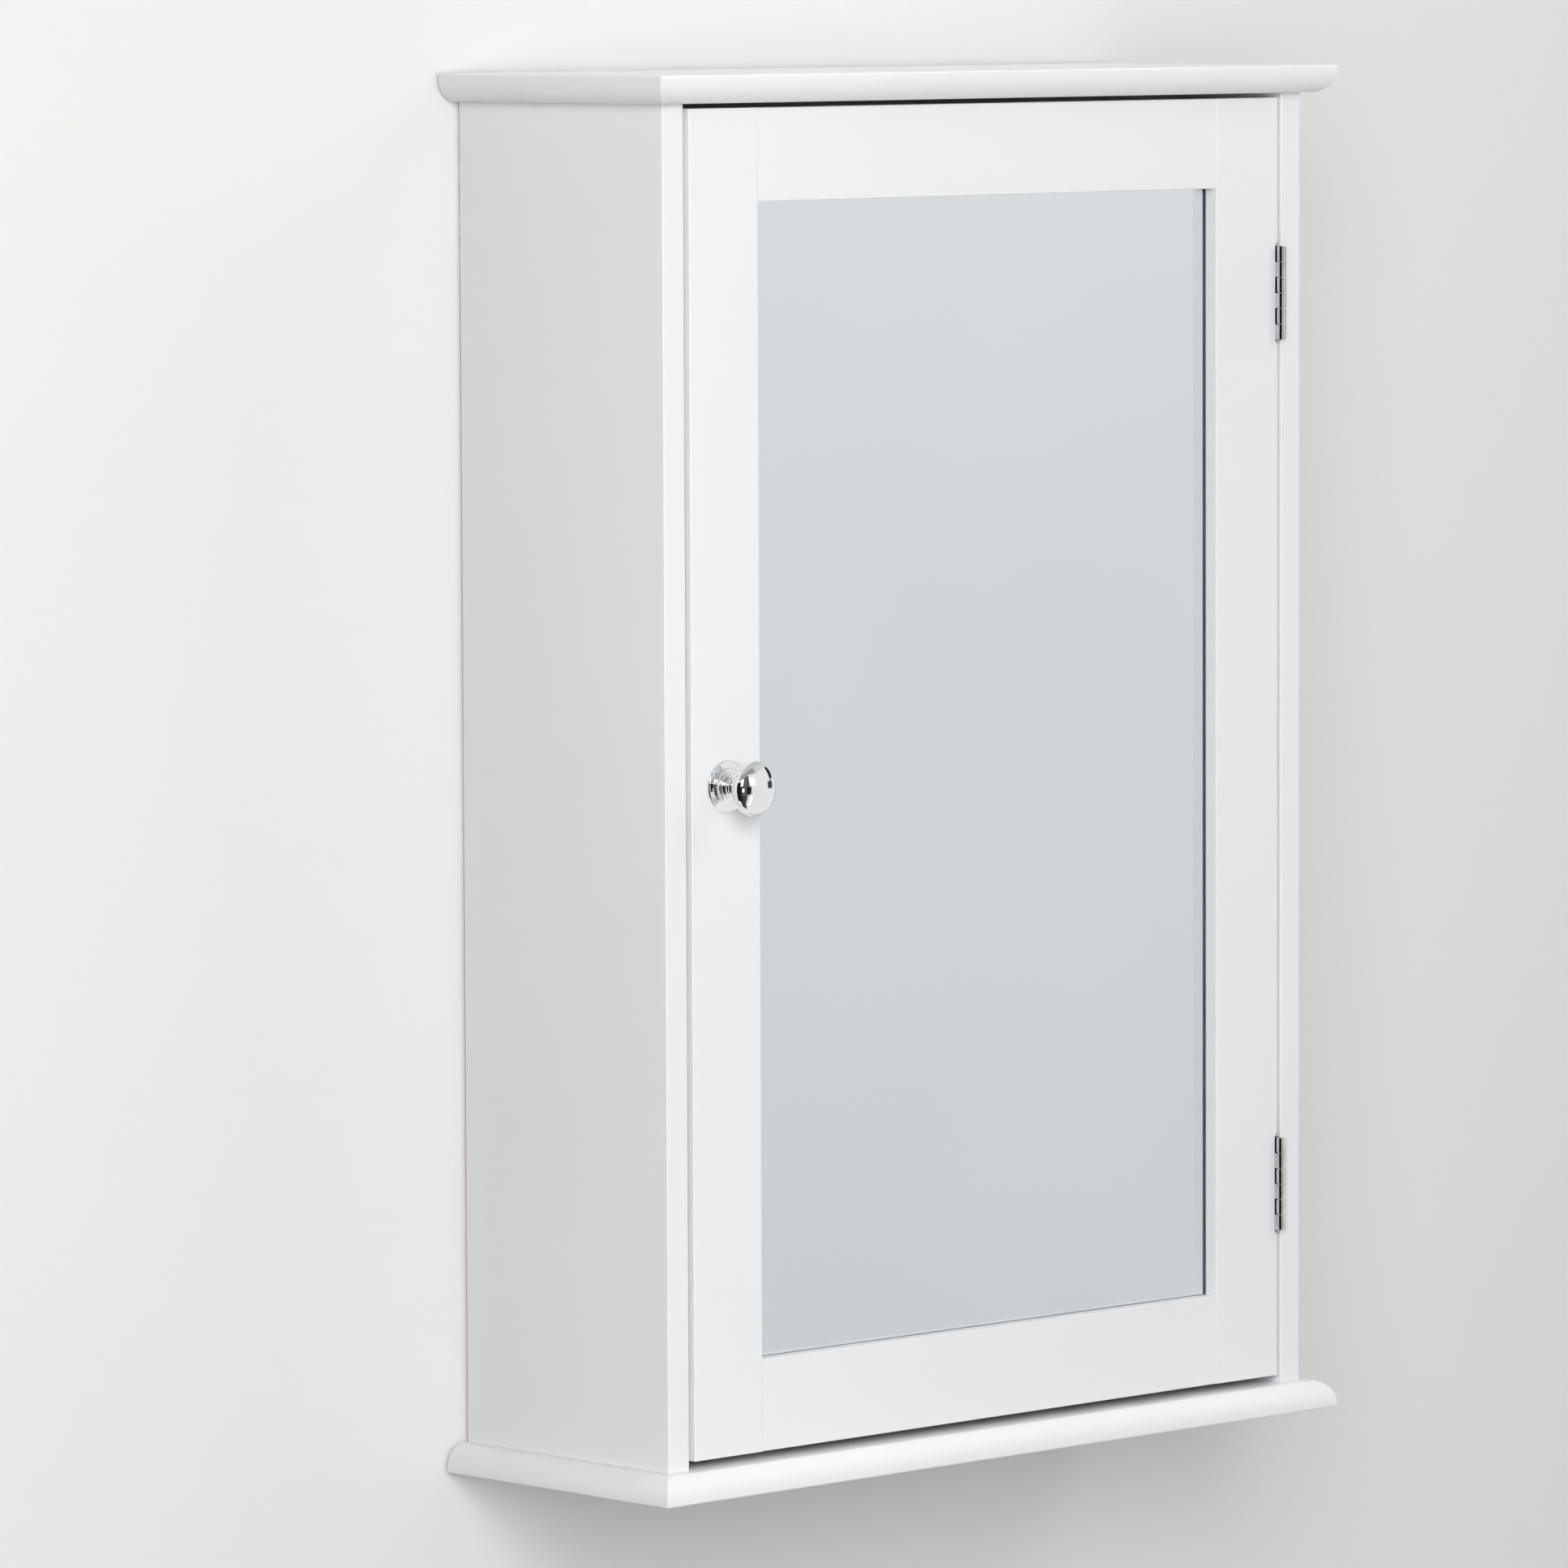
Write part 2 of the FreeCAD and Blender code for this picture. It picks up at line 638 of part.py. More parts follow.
# Keyhole hanger plates. A wall screw's head enters the round hole and slides up behind the slot.
hanger_screws = []
for name, side in (("left_hanger_plate", -1), ("right_hanger_plate", 1)):
    plate = new_body(name, panel_middle * side, ZERO, ZERO)
    half_wide = given.panel_thickness / 2 - given.hanger_plate_margin
    half_long = given.hanger_plate_length / 2
    plate_outline = box_outline(-half_wide, -half_long, half_wide, half_long, given.hanger_plate_corner)
    add(plate, "XZ", [plate_outline], rear, ZERO)
    drill(plate, "XZ", [(ZERO, ZERO)], given.hanger_entry_diameter, ZERO, rear)
    half_slot = given.hanger_slot_width / 2
    slot = box_outline(-half_slot, ZERO, half_slot, given.hanger_slot_rise)
    cut(plate, "XZ", [slot], ZERO, rear)
    drill(plate, "XZ", [(ZERO, given.hanger_slot_rise)], given.hanger_slot_width, ZERO, rear)
    for level in hanger_screw_steps:
        hole = wood_screw_radius + given.screw_play
        thickness = given.hanger_plate_thickness
        countersink(plate, ZERO, ZERO, level, AGAINST_Y, hole + thickness, hole, thickness)
        length = given.hanger_screw_length - given.screw_play
        hanger_screws += sunk_screw(panel_middle * side, ZERO, level, AGAINST_Y, thickness, length)
group("hanger_screws", hanger_screws)

# Magnetic catch: a moulded housing with two ears, a magnet and the two steel poles either side of it.
catch_housing = new_body("catch_housing", ZERO, ZERO, underside)
ear_half, body_half = given.catch_length / 2, given.catch_body_length / 2
ear_top = catch_face + given.catch_flange_thickness
magnet_half = given.magnet_thickness / 2
pole_half = magnet_half + given.pole_thickness
seat_half = pole_half + given.catch_play
body_top = strike_x + seat_half + given.catch_wall
for half_length, foot, top in ((ear_half, catch_face, ear_top), (body_half, ear_top, body_top)):
    low, high = door_middle - half_length, door_middle + half_length
    moulding = box_outline(catch_front, low, catch_rear, high, given.catch_corner)
    add(catch_housing, "YZ", [moulding], foot, top)
magnet_low = door_middle - given.magnet_length / 2
magnet_high = door_middle + given.magnet_length / 2
seat = box_outline(
    strike_x - seat_half, magnet_low - given.catch_play, strike_x + seat_half, magnet_high + given.catch_play
)
cut(catch_housing, "XZ", [seat], catch_front, magnet_rear)
drill(catch_housing, "YZ", catch_holes, screw_bore, ear_top, catch_face)

catch_magnet = new_body("catch_magnet", ZERO, ZERO, underside)
magnet = box_outline(strike_x - magnet_half, magnet_low, strike_x + magnet_half, magnet_high)
add(catch_magnet, "XZ", [magnet], catch_front, magnet_rear)

catch_pole_plates = new_body("catch_pole_plates", ZERO, ZERO, underside)
poles = [
    box_outline(strike_x - pole_half, magnet_low, strike_x - magnet_half, magnet_high),
    box_outline(strike_x + magnet_half, magnet_low, strike_x + pole_half, magnet_high),
]
add(catch_pole_plates, "XZ", poles, pole_tip, magnet_rear)

catch_screws = []
for depth, level in catch_holes:
    catch_screws += raised_screw(
        ear_top,
        depth,
        underside + level,
        AGAINST_X,
        given.small_head_diameter,
        given.small_head_height,
        given.wood_screw_diameter,
        given.catch_flange_thickness + given.catch_screw_length - given.screw_play,
    )
group("catch_screws", catch_screws)


# Butt hinges: two leaves whose knuckles interleave on one pin. The cabinet's leaf lies on the side,
# and the door's leaf on the floor of its mortise.
def hinge_leaf(label, level, side, first_knuckle):
    leaf = new_body(label, hinge_axis_x, hinge_axis_y, underside + level)
    half_length = given.hinge_length / 2
    pitch = given.hinge_length / KNUCKLES
    clear_of_barrel = given.barrel_diameter / 2 + given.barrel_clearance
    own = []
    for index in range(first_knuckle, KNUCKLES, 2):
        low = pitch * index - half_length + given.knuckle_gap / 2
        own.append((low, low + pitch - given.knuckle_gap))
    comb = [
        (given.leaf_width, -half_length),
        (given.leaf_width, half_length),
        (clear_of_barrel, half_length),
    ]
    for low, high in reversed(own):
        comb += [(clear_of_barrel, high), (ZERO, high), (ZERO, low), (clear_of_barrel, low)]
    comb.append((clear_of_barrel, -half_length))
    near = (hinge_half_space - given.leaf_thickness) * side
    add(leaf, "YZ", [comb], near, hinge_half_space * side)
    for low, high in own:
        add_rods(leaf, "XY", [(ZERO, ZERO)], given.barrel_diameter, low, high)
    bore = given.hinge_pin_diameter + given.pin_play * 2
    drill(leaf, "XY", [(ZERO, ZERO)], bore, -half_length, half_length)
    turn = ALONG_X if side > 0 else AGAINST_X
    hole, thickness = wood_screw_radius + given.screw_play, given.leaf_thickness
    screws = []
    for height in hinge_screw_steps:
        countersink(leaf, near, hinge_screw_row, height, turn, hole + thickness, hole, thickness)
        screws += sunk_screw(
            hinge_axis_x + near,
            hinge_axis_y + hinge_screw_row,
            underside + level + height,
            turn,
            thickness,
            given.hinge_screw_length - given.screw_play,
        )
    return screws


cabinet_screws, door_screws = [], []
for name, level in hinge_levels.items():
    cabinet_screws += hinge_leaf(f"{name}_hinge_cabinet_leaf", level, 1, 1)
    door_screws += hinge_leaf(f"{name}_hinge_door_leaf", level, -1, 0)
    pin_low = underside + level - given.hinge_length / 2
    pin = rod(given.hinge_pin_diameter / 2, given.hinge_length, hinge_axis_x, hinge_axis_y, pin_low, UPRIGHT)
    pin.Label = f"{name}_hinge_pin"
    nodes.append(pin)
group("hinge_cabinet_screws", cabinet_screws)
group("hinge_door_screws", door_screws)


# Door frame: stiles run the full height, and the rails are dowelled between them. Behind the front
# lip the inner edges are rebated for the mirror.
rebate_left, rebate_right = opening_left - given.rebate_width, opening_right + given.rebate_width
rebate_bottom, rebate_top = opening_bottom - given.rebate_width, opening_top + given.rebate_width


def stile(label, left, right, rebate_from, rebate_to, dowels_from, dowels_to):
    piece = new_body(label, ZERO, ZERO, underside)
    section = box_outline(left, front, right, door_rear, given.door_arris, rounded=(0, 1))
    add(piece, "XY", [section], door_bottom, door_top)
    rebate = box_outline(rebate_from, rebate_bottom, rebate_to, rebate_top)
    cut(piece, "XZ", [rebate], door_rear, glass_front)
    holes = [(rail_dowel_depth, level) for level in top_dowel_levels + bottom_dowel_levels]
    drill(piece, "YZ", holes, dowel_bore, dowels_from, dowels_to)
    return piece


latch_stile = stile(
    "latch_stile",
    door_left,
    opening_left,
    rebate_left,
    opening_left,
    opening_left,
    opening_left - given.rail_dowel_reach,
)
knob_bore = given.knob_screw_diameter + given.screw_play * 2
drill(latch_stile, "XZ", [(knob_x, door_middle)], knob_bore, door_rear, front)
strike_hole_end = door_rear - given.strike_screw_length
drill(latch_stile, "XZ", [(strike_x, door_middle)], screw_bore, door_rear, strike_hole_end)

hinge_stile = stile(
    "hinge_stile",
    opening_right,
    door_right,
    opening_right,
    rebate_right,
    opening_right,
    opening_right + given.rail_dowel_reach,
)
mortise_floor = door_right - given.mortise_depth
mortise_rear = leaf_rear + given.barrel_clearance
half_run, half_step = given.mortise_run / 2, given.mortise_depth / 2
ogee = bend(half_step, half_run)
for level in hinge_levels.values():
    low = level - given.hinge_length / 2 - given.mortise_run
    high = level + given.hinge_length / 2 + given.mortise_run
    mortise = [
        (door_right + half_step, low),
        (door_right + half_step, high),
        (door_right, high, -ogee),
        (door_right - half_step, high - half_run, ogee),
        (mortise_floor, high - given.mortise_run),
        (mortise_floor, low + given.mortise_run, ogee),
        (door_right - half_step, low + half_run, -ogee),
        (door_right, low),
    ]
    cut(hinge_stile, "XZ", [mortise], front, mortise_rear)
hinge_hole_end = mortise_floor - given.hinge_screw_length
drill(hinge_stile, "YZ", hinge_holes, screw_bore, mortise_floor, hinge_hole_end)


def rail(label, low, high, rebate_low, rebate_high, dowel_levels):
    piece = new_body(label, ZERO, ZERO, underside)
    section = box_outline(front, low, door_rear, high, given.door_arris, rounded=(0, 3))
    add(piece, "YZ", [section], opening_left, opening_right)
    rebate = box_outline(glass_front, rebate_low, door_rear, rebate_high)
    cut(piece, "YZ", [rebate], opening_left, opening_right)
    holes = [(rail_dowel_depth, level) for level in dowel_levels]
    drill(piece, "YZ", holes, dowel_bore, opening_left, opening_left + given.rail_dowel_reach)
    drill(piece, "YZ", holes, dowel_bore, opening_right, opening_right - given.rail_dowel_reach)


rail("top_rail", opening_top, door_top, opening_top, rebate_top, top_dowel_levels)
rail("bottom_rail", door_bottom, opening_bottom, rebate_bottom, opening_bottom, bottom_dowel_levels)

rail_dowels = new_body("rail_dowels", ZERO, ZERO, underside)
rail_dowel_spots = [(rail_dowel_depth, level) for level in top_dowel_levels + bottom_dowel_levels]
dowel_half = given.rail_dowel_reach - given.pin_play
for joint in (opening_left, opening_right):
    start, end = joint - dowel_half, joint + dowel_half
    add_rods(rail_dowels, "YZ", rail_dowel_spots, given.dowel_diameter, start, end)

# Mirror, its backing board and four mitred beads, laid one behind another in the rebate.
pane_reach = given.rebate_width - given.pane_play
pane_left, pane_right = opening_left - pane_reach, opening_right + pane_reach
pane_bottom, pane_top = opening_bottom - pane_reach, opening_top + pane_reach
pane = box_outline(pane_left, pane_bottom, pane_right, pane_top)
mirror_glass = new_body("mirror_glass", ZERO, ZERO, underside)
add(mirror_glass, "XZ", [pane], glass_front, glass_rear)
mirror_backing = new_body("mirror_backing", ZERO, ZERO, underside)
add(mirror_backing, "XZ", [pane], glass_rear, backing_rear)
hole = box_outline(opening_left, opening_bottom, opening_right, opening_top)
for index, bead_name in enumerate(("bottom_bead", "right_bead", "top_bead", "left_bead")):
    bead = new_body(bead_name, ZERO, ZERO, underside)
    following = (index + 1) % 4
    add(bead, "XZ", [[pane[index], pane[following], hole[following], hole[index]]], backing_rear, door_rear)

# Turned knob on its stepped rose, drawn as radius and distance in front of the door.
knob_rose = new_body("knob_rose", knob_x, front, underside + door_middle)
bore_radius = knob_bore / 2
rose_steps = (
    (given.rose_diameter / 2, given.rose_flange_height),
    (given.rose_ring_diameter / 2, given.rose_ring_height),
    (given.rose_top_diameter / 2, given.rose_top_height),
)
rose_section = [(bore_radius, ZERO)]
rose_face = ZERO
for radius, height in rose_steps:
    step_top = rose_face + height
    rose_section += [
        (radius, -rose_face),
        (radius, given.rose_rounding - step_top, -given.rose_rounding),
        (radius - given.rose_rounding, -step_top),
    ]
    rose_face = step_top
rose_section.append((bore_radius, -rose_face))
spin(knob_rose, rose_section)

knob = new_body("knob", knob_x, front, underside + door_middle)
collar, neck = given.knob_collar_diameter / 2, given.knob_neck_diameter / 2
flare, rim = given.knob_flare_diameter / 2, given.knob_diameter / 2
shoulder = given.knob_shoulder_diameter / 2
collar_top = rose_face + given.knob_collar_height
neck_foot = collar_top + collar - neck
neck_top = neck_foot + given.knob_neck_length
flare_top = neck_top + given.knob_flare_length
rim_level = flare_top + given.knob_swell_length
shoulder_level = rim_level + given.knob_shoulder_length
thread_end = rose_face + given.knob_screw_grip + given.screw_play
knob_section = [
    (bore_radius, -rose_face),
    (collar, -rose_face),
    (collar, -collar_top, bend(collar - neck, collar - neck)),
    (neck, -neck_foot),
    (neck, -neck_top, bend(flare - neck, given.knob_flare_length)),
    (flare, -flare_top, -bend(rim - flare, given.knob_swell_length)),
    (rim, -rim_level, -bend(rim - shoulder, given.knob_shoulder_length)),
    (shoulder, -shoulder_level, -bend(given.knob_dome_height, shoulder)),
    (ZERO, -(shoulder_level + given.knob_dome_height)),
    (ZERO, -thread_end),
    (bore_radius, -thread_end),
]
spin(knob, knob_section)

group(
    "knob_screw",
    raised_screw(
        knob_x,
        door_rear,
        underside + door_middle,
        AGAINST_Y,
        given.pan_head_diameter,
        given.pan_head_height,
        given.knob_screw_diameter,
        given.door_thickness + rose_face + given.knob_screw_grip,
    ),
)

# Steel plate on the back of the door that the catch's poles pull on.
strike_plate = new_body("strike_plate", ZERO, ZERO, underside)
strike_half = given.strike_width / 2
strike_outline = box_outline(
    strike_x - strike_half,
    door_middle - given.strike_length / 2,
    strike_x + strike_half,
    door_middle + given.strike_length / 2,
    given.catch_corner,
)
add(strike_plate, "XZ", [strike_outline], door_rear, door_rear + given.strike_thickness)
strike_hole = wood_screw_radius + given.screw_play
countersink(
    strike_plate,
    strike_x,
    door_rear + given.strike_thickness,
    door_middle,
    AGAINST_Y,
    strike_hole + given.strike_thickness,
    strike_hole,
    given.strike_thickness,
)
group(
    "strike_screw",
    sunk_screw(
        strike_x,
        door_rear + given.strike_thickness,
        underside + door_middle,
        AGAINST_Y,
        given.strike_thickness,
        given.strike_screw_length - given.screw_play,
    ),
)

doc.recompute()

# Every feature must have worked, and every cut must have taken something away, before anything is written.
for item in doc.Objects:
    if {"Invalid", "Error"} & set(item.State):
        raise RuntimeError(f"{item.Name} failed: {item.State}")
    if item.TypeId in ("PartDesign::Pocket", "PartDesign::SubtractiveCone"):
        if item.BaseFeature.Shape.Volume - item.Shape.Volume < 1e-3:
            raise RuntimeError(f"{item.Name} cut nothing")
for node in nodes:
    if node.Shape.isNull() or not node.Shape.isValid():
        raise RuntimeError(f"{node.Label} has no valid shape")
for node in nodes:
    node.Shape.exportStep(f"parts/{node.Label}.step")
print(f"{len(nodes)} nodes written")
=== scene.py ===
import json
import math

import bpy
from mathutils import Matrix, Vector

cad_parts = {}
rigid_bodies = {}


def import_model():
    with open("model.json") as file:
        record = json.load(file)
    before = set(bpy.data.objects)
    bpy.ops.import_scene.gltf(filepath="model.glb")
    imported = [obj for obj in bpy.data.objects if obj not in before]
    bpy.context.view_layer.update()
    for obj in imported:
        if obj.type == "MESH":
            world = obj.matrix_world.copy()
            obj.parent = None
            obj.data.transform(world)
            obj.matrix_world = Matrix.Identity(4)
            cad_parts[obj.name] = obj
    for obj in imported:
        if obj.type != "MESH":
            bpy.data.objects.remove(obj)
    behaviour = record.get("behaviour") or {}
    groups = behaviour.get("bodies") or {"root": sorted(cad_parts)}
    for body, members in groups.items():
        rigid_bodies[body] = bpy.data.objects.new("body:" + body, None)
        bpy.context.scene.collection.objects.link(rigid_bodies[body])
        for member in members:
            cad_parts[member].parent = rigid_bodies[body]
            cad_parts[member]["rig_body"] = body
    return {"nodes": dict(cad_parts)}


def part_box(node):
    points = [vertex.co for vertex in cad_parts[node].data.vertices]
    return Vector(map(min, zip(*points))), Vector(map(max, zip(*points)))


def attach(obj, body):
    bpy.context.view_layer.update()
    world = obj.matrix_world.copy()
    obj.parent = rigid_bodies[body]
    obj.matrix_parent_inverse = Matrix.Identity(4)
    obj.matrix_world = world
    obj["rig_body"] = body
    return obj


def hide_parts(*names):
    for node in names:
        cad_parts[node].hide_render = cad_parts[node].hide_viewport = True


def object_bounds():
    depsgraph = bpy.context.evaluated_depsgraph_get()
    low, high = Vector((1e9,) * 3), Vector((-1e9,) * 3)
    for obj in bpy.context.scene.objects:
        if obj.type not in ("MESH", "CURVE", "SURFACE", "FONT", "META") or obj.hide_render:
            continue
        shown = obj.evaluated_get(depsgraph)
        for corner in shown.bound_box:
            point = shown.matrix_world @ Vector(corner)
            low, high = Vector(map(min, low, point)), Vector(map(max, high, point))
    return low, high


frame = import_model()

cad_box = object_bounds()

# Side panels
# Two fibreboard panels, bored for their fittings and grooved for the back, sprayed in satin white.
# They stand between the top and bottom boards. Their end arrises are eased before painting, so each
# joint shows outside as a fine line.
MM = 0.001
PAINT_SHADED = (0.842, 0.853, 0.868, 1.0)
PAINT_FULL = (0.862, 0.872, 0.886, 1.0)
PAINT_SPECK = (0.52, 0.50, 0.47, 1.0)
SPECK_CELL = 28.0 * MM
SPECK_REACH = 0.3 * MM
GRAIN_LOW, GRAIN_HIGH = 0.3, 0.7
PANEL_END_EASE = 0.4 * MM
PANEL_END_REACH = 0.1 * MM
PANEL_ARRIS = 1.0 * MM
EASE_STEPS = 3
SHARP = math.radians(40)
NEARLY_FLAT = math.radians(0.5)
SAME_SPOT = 0.001 * MM


def lay(tree, kind, inputs=None, **settings):
    """Adds a shader node, whose inputs are plain values or other nodes' outputs."""
    node = tree.nodes.new(kind)
    for name, value in settings.items():
        setattr(node, name, value)
    for name, value in (inputs or {}).items():
        if isinstance(value, bpy.types.NodeSocket):
            tree.links.new(value, node.inputs[name])
        else:
            node.inputs[name].default_value = value
    return node


def blend_colours(tree, factor, *stops):
    """Runs through the colours at the given stops, each (position, colour)."""
    ramp = lay(tree, "ShaderNodeValToRGB", {"Fac": factor})
    elements = ramp.color_ramp.elements
    while len(elements) < len(stops):
        elements.new(0.5)
    for element, (position, colour) in zip(elements, stops):
        element.position = position
        element.color = colour
    return ramp.outputs["Color"]


def mix_colours(tree, factor, first, second):
    """Fades from the first colour to the second. The node's colours are its inputs 6 and 7 and output 2."""
    inputs = {"Factor": factor, 6: first, 7: second}
    return lay(tree, "ShaderNodeMix", inputs, data_type="RGBA").outputs[2]


def remap(tree, value, start, end, low=0.0, high=1.0, **settings):
    """Carries a value that runs from start to end over to the range from low to high."""
    inputs = {"Value": value, "From Min": start, "From Max": end, "To Min": low, "To Max": high}
    return lay(tree, "ShaderNodeMapRange", inputs, **settings).outputs["Result"]


def grain(tree, place, per_metre, detail=2.0):
    """Soft random grain, with about this many grains to the metre."""
    inputs = {"Vector": place, "Scale": per_metre, "Detail": detail}
    return lay(tree, "ShaderNodeTexNoise", inputs).outputs["Fac"]


def spread(tree, grains, low, high):
    """Lets a value drift from low to high with the grain."""
    return remap(tree, grains, GRAIN_LOW, GRAIN_HIGH, low, high)


def new_finish(name):
    """An empty finish: the material, its tree, its surface shader and the piece's own coordinates."""
    material = bpy.data.materials.new(name)
    material.use_nodes = True
    tree = material.node_tree
    place = lay(tree, "ShaderNodeTexCoord").outputs["Object"]
    return material, tree, tree.nodes["Principled BSDF"], place


def coat(tree, surface, colour, roughness):
    """Lays the colour and the sheen on the surface."""
    tree.links.new(colour, surface.inputs["Base Color"])
    tree.links.new(roughness, surface.inputs["Roughness"])


def roughen(tree, surface, height, depth, strength):
    bump = lay(tree, "ShaderNodeBump", {"Height": height, "Distance": depth, "Strength": strength})
    tree.links.new(bump.outputs["Normal"], surface.inputs["Normal"])


def satin_paint():
    """Sprayed satin white: a fine orange peel, a sheen and shade that drift a little, a few specks."""
    material, tree, surface, place = new_finish("satin_white_paint")
    drift = grain(tree, place, per_metre=6.0)
    shade = blend_colours(tree, drift, (GRAIN_LOW, PAINT_SHADED), (GRAIN_HIGH, PAINT_FULL))
    cells = lay(tree, "ShaderNodeTexVoronoi", {"Vector": place, "Scale": 1 / SPECK_CELL})
    reach = SPECK_REACH / SPECK_CELL
    speck = remap(tree, cells.outputs["Distance"], start=reach, end=reach / 2)
    colour = mix_colours(tree, speck, shade, PAINT_SPECK)
    sheen = spread(tree, grain(tree, place, per_metre=60.0), low=0.34, high=0.44)
    coat(tree, surface, colour, sheen)
    peel = grain(tree, place, per_metre=700.0, detail=3.0)
    roughen(tree, surface, peel, depth=0.05 * MM, strength=0.35)
    return material


def dress(node, material):
    """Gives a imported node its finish."""
    for material_slot in frame["nodes"][node].material_slots:
        material_slot.material = material


def select_only(piece):
    bpy.ops.object.select_all(action="DESELECT")
    piece.select_set(True)
    bpy.context.view_layer.objects.active = piece


def welded_copy(node):
    """A copy of a node, with its loose triangles merged into whole faces."""
    copy = bpy.data.objects.new(f"{node}_eased", frame["nodes"][node].data.copy())
    bpy.context.scene.collection.objects.link(copy)
    select_only(copy)
    bpy.ops.mesh.customdata_custom_splitnormals_clear()
    bpy.ops.object.mode_set(mode="EDIT")
    bpy.ops.mesh.select_all(action="SELECT")
    bpy.ops.mesh.remove_doubles(threshold=SAME_SPOT)
    bpy.ops.mesh.dissolve_limited(angle_limit=NEARLY_FLAT)
    bpy.ops.object.mode_set(mode="OBJECT")
    return copy


def even_shading(piece):
    """Smooths the curved faces, and keeps the flat ones flat up to their eased edges."""
    select_only(piece)
    bpy.ops.object.shade_smooth_by_angle(angle=SHARP)
    even = piece.modifiers.new("even", "WEIGHTED_NORMAL")
    even.keep_sharp = True
    bpy.ops.object.modifier_apply(modifier=even.name)


def take_over(piece, node, material):
    """The piece stands for the node, in its finish and on its body."""
    piece.data.materials.clear()
    piece.data.materials.append(material)
    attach(piece, frame["nodes"][node]["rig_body"])
    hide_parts(node)


def edge_middle(mesh, edge):
    first, second = (mesh.vertices[end].co for end in edge.vertices)
    return (first + second) / 2


def eased(node, material, ease, chosen=None):
    """Stands for a node with its sharp edges eased, or those of them whose middle is chosen."""
    piece = welded_copy(node)
    bpy.ops.object.mode_set(mode="EDIT")
    bpy.ops.mesh.select_mode(type="EDGE")
    bpy.ops.mesh.select_all(action="DESELECT")
    bpy.ops.mesh.edges_select_sharp(sharpness=SHARP)
    if chosen:
        bpy.ops.object.mode_set(mode="OBJECT")
        mesh = piece.data
        wanted = [edge.select and chosen(edge_middle(mesh, edge)) for edge in mesh.edges]
        for group in (mesh.vertices, mesh.polygons):
            group.foreach_set("select", [False] * len(group))
        mesh.edges.foreach_set("select", wanted)
        bpy.ops.object.mode_set(mode="EDIT")
    bpy.ops.mesh.bevel(offset=ease, segments=EASE_STEPS, affect="EDGES", clamp_overlap=True)
    bpy.ops.object.mode_set(mode="OBJECT")
    even_shading(piece)
    take_over(piece, node, material)


def shown_end(panel):
    """The test for an edge at either end of a panel that shows from outside or from the front."""
    low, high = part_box(panel)
    outside = max(abs(low.x), abs(high.x))

    def shows(spot):
        at_end = min(spot.z - low.z, high.z - spot.z) < PANEL_END_REACH
        at_face = outside - abs(spot.x) < PANEL_ARRIS
        at_front = spot.y - low.y < PANEL_ARRIS
        return at_end and (at_face or at_front)

    return shows


white_paint = satin_paint()
for panel in ("left_side_panel", "right_side_panel"):
    eased(panel, white_paint, PANEL_END_EASE, shown_end(panel))

# Top and bottom boards
# Fibreboard with a quarter-round run along the front and both ends, mitred at the corners and painted
# with the sides. The bottom board is the same board turned over.
for board in ("top_board", "bottom_board"):
    dress(board, white_paint)

# Cam fittings and dowels
# Die-cast zinc nuts in the sides draw the steel bolts of the boards down, and fluted beech dowels keep
# the joints in line. Only the nuts' slotted faces show, inside the cabinet.
ZINC_DARK = (0.40, 0.41, 0.42, 1.0)
ZINC_BRIGHT = (0.62, 0.63, 0.64, 1.0)
BEECH_DARK = (0.42, 0.25, 0.12, 1.0)
BEECH_PALE = (0.60, 0.41, 0.23, 1.0)
FLECK_STRETCH = (1.0, 1.0, 0.12)


def zinc_plate():
    """Bright zinc on steel: slightly mottled, neither polished nor matt."""
    material, tree, surface, place = new_finish("zinc_plate")
    mottle = grain(tree, place, per_metre=240.0, detail=4.0)
    colour = blend_colours(tree, mottle, (0.32, ZINC_DARK), (0.62, ZINC_BRIGHT))
    sheen = spread(tree, grain(tree, place, per_metre=900.0), low=0.24, high=0.40)
    coat(tree, surface, colour, sheen)
    surface.inputs["Metallic"].default_value = 1.0
    roughen(tree, surface, grain(tree, place, per_metre=1400.0), depth=0.01 * MM, strength=0.3)
    return material


def beech():
    """Bare beech, with short dark flecks along the dowel."""
    material, tree, surface, place = new_finish("bare_beech")
    along = lay(tree, "ShaderNodeMapping", {"Vector": place, "Scale": FLECK_STRETCH})
    fleck = grain(tree, along.outputs["Vector"], per_metre=1500.0, detail=4.0)
    colour = blend_colours(tree, fleck, (0.35, BEECH_DARK), (0.6, BEECH_PALE))
    coat(tree, surface, colour, spread(tree, fleck, low=0.75, high=0.55))
    roughen(tree, surface, fleck, depth=0.05 * MM, strength=0.5)
    return material


bright_zinc = zinc_plate()
for fitting in ("cam_nuts", "cam_bolts"):
    dress(fitting, bright_zinc)
bare_beech = beech()
for peg in ("dowels", "rail_dowels"):
    dress(peg, bare_beech)

# Back panel
# Thin hardboard that slides into grooves all round. Its inner face is white, and its rear is bare
# brown fibre.
BOARD_FACE = (0.80, 0.81, 0.82, 1.0)
FIBRE_DARK = (0.20, 0.12, 0.065, 1.0)
FIBRE_PALE = (0.34, 0.22, 0.13, 1.0)
BARE_SKIN = 0.2 * MM


def reckon(tree, operation, *values):
    """Works out plain values or other nodes' outputs together."""
    return lay(tree, "ShaderNodeMath", dict(enumerate(values)), operation=operation).outputs["Value"]


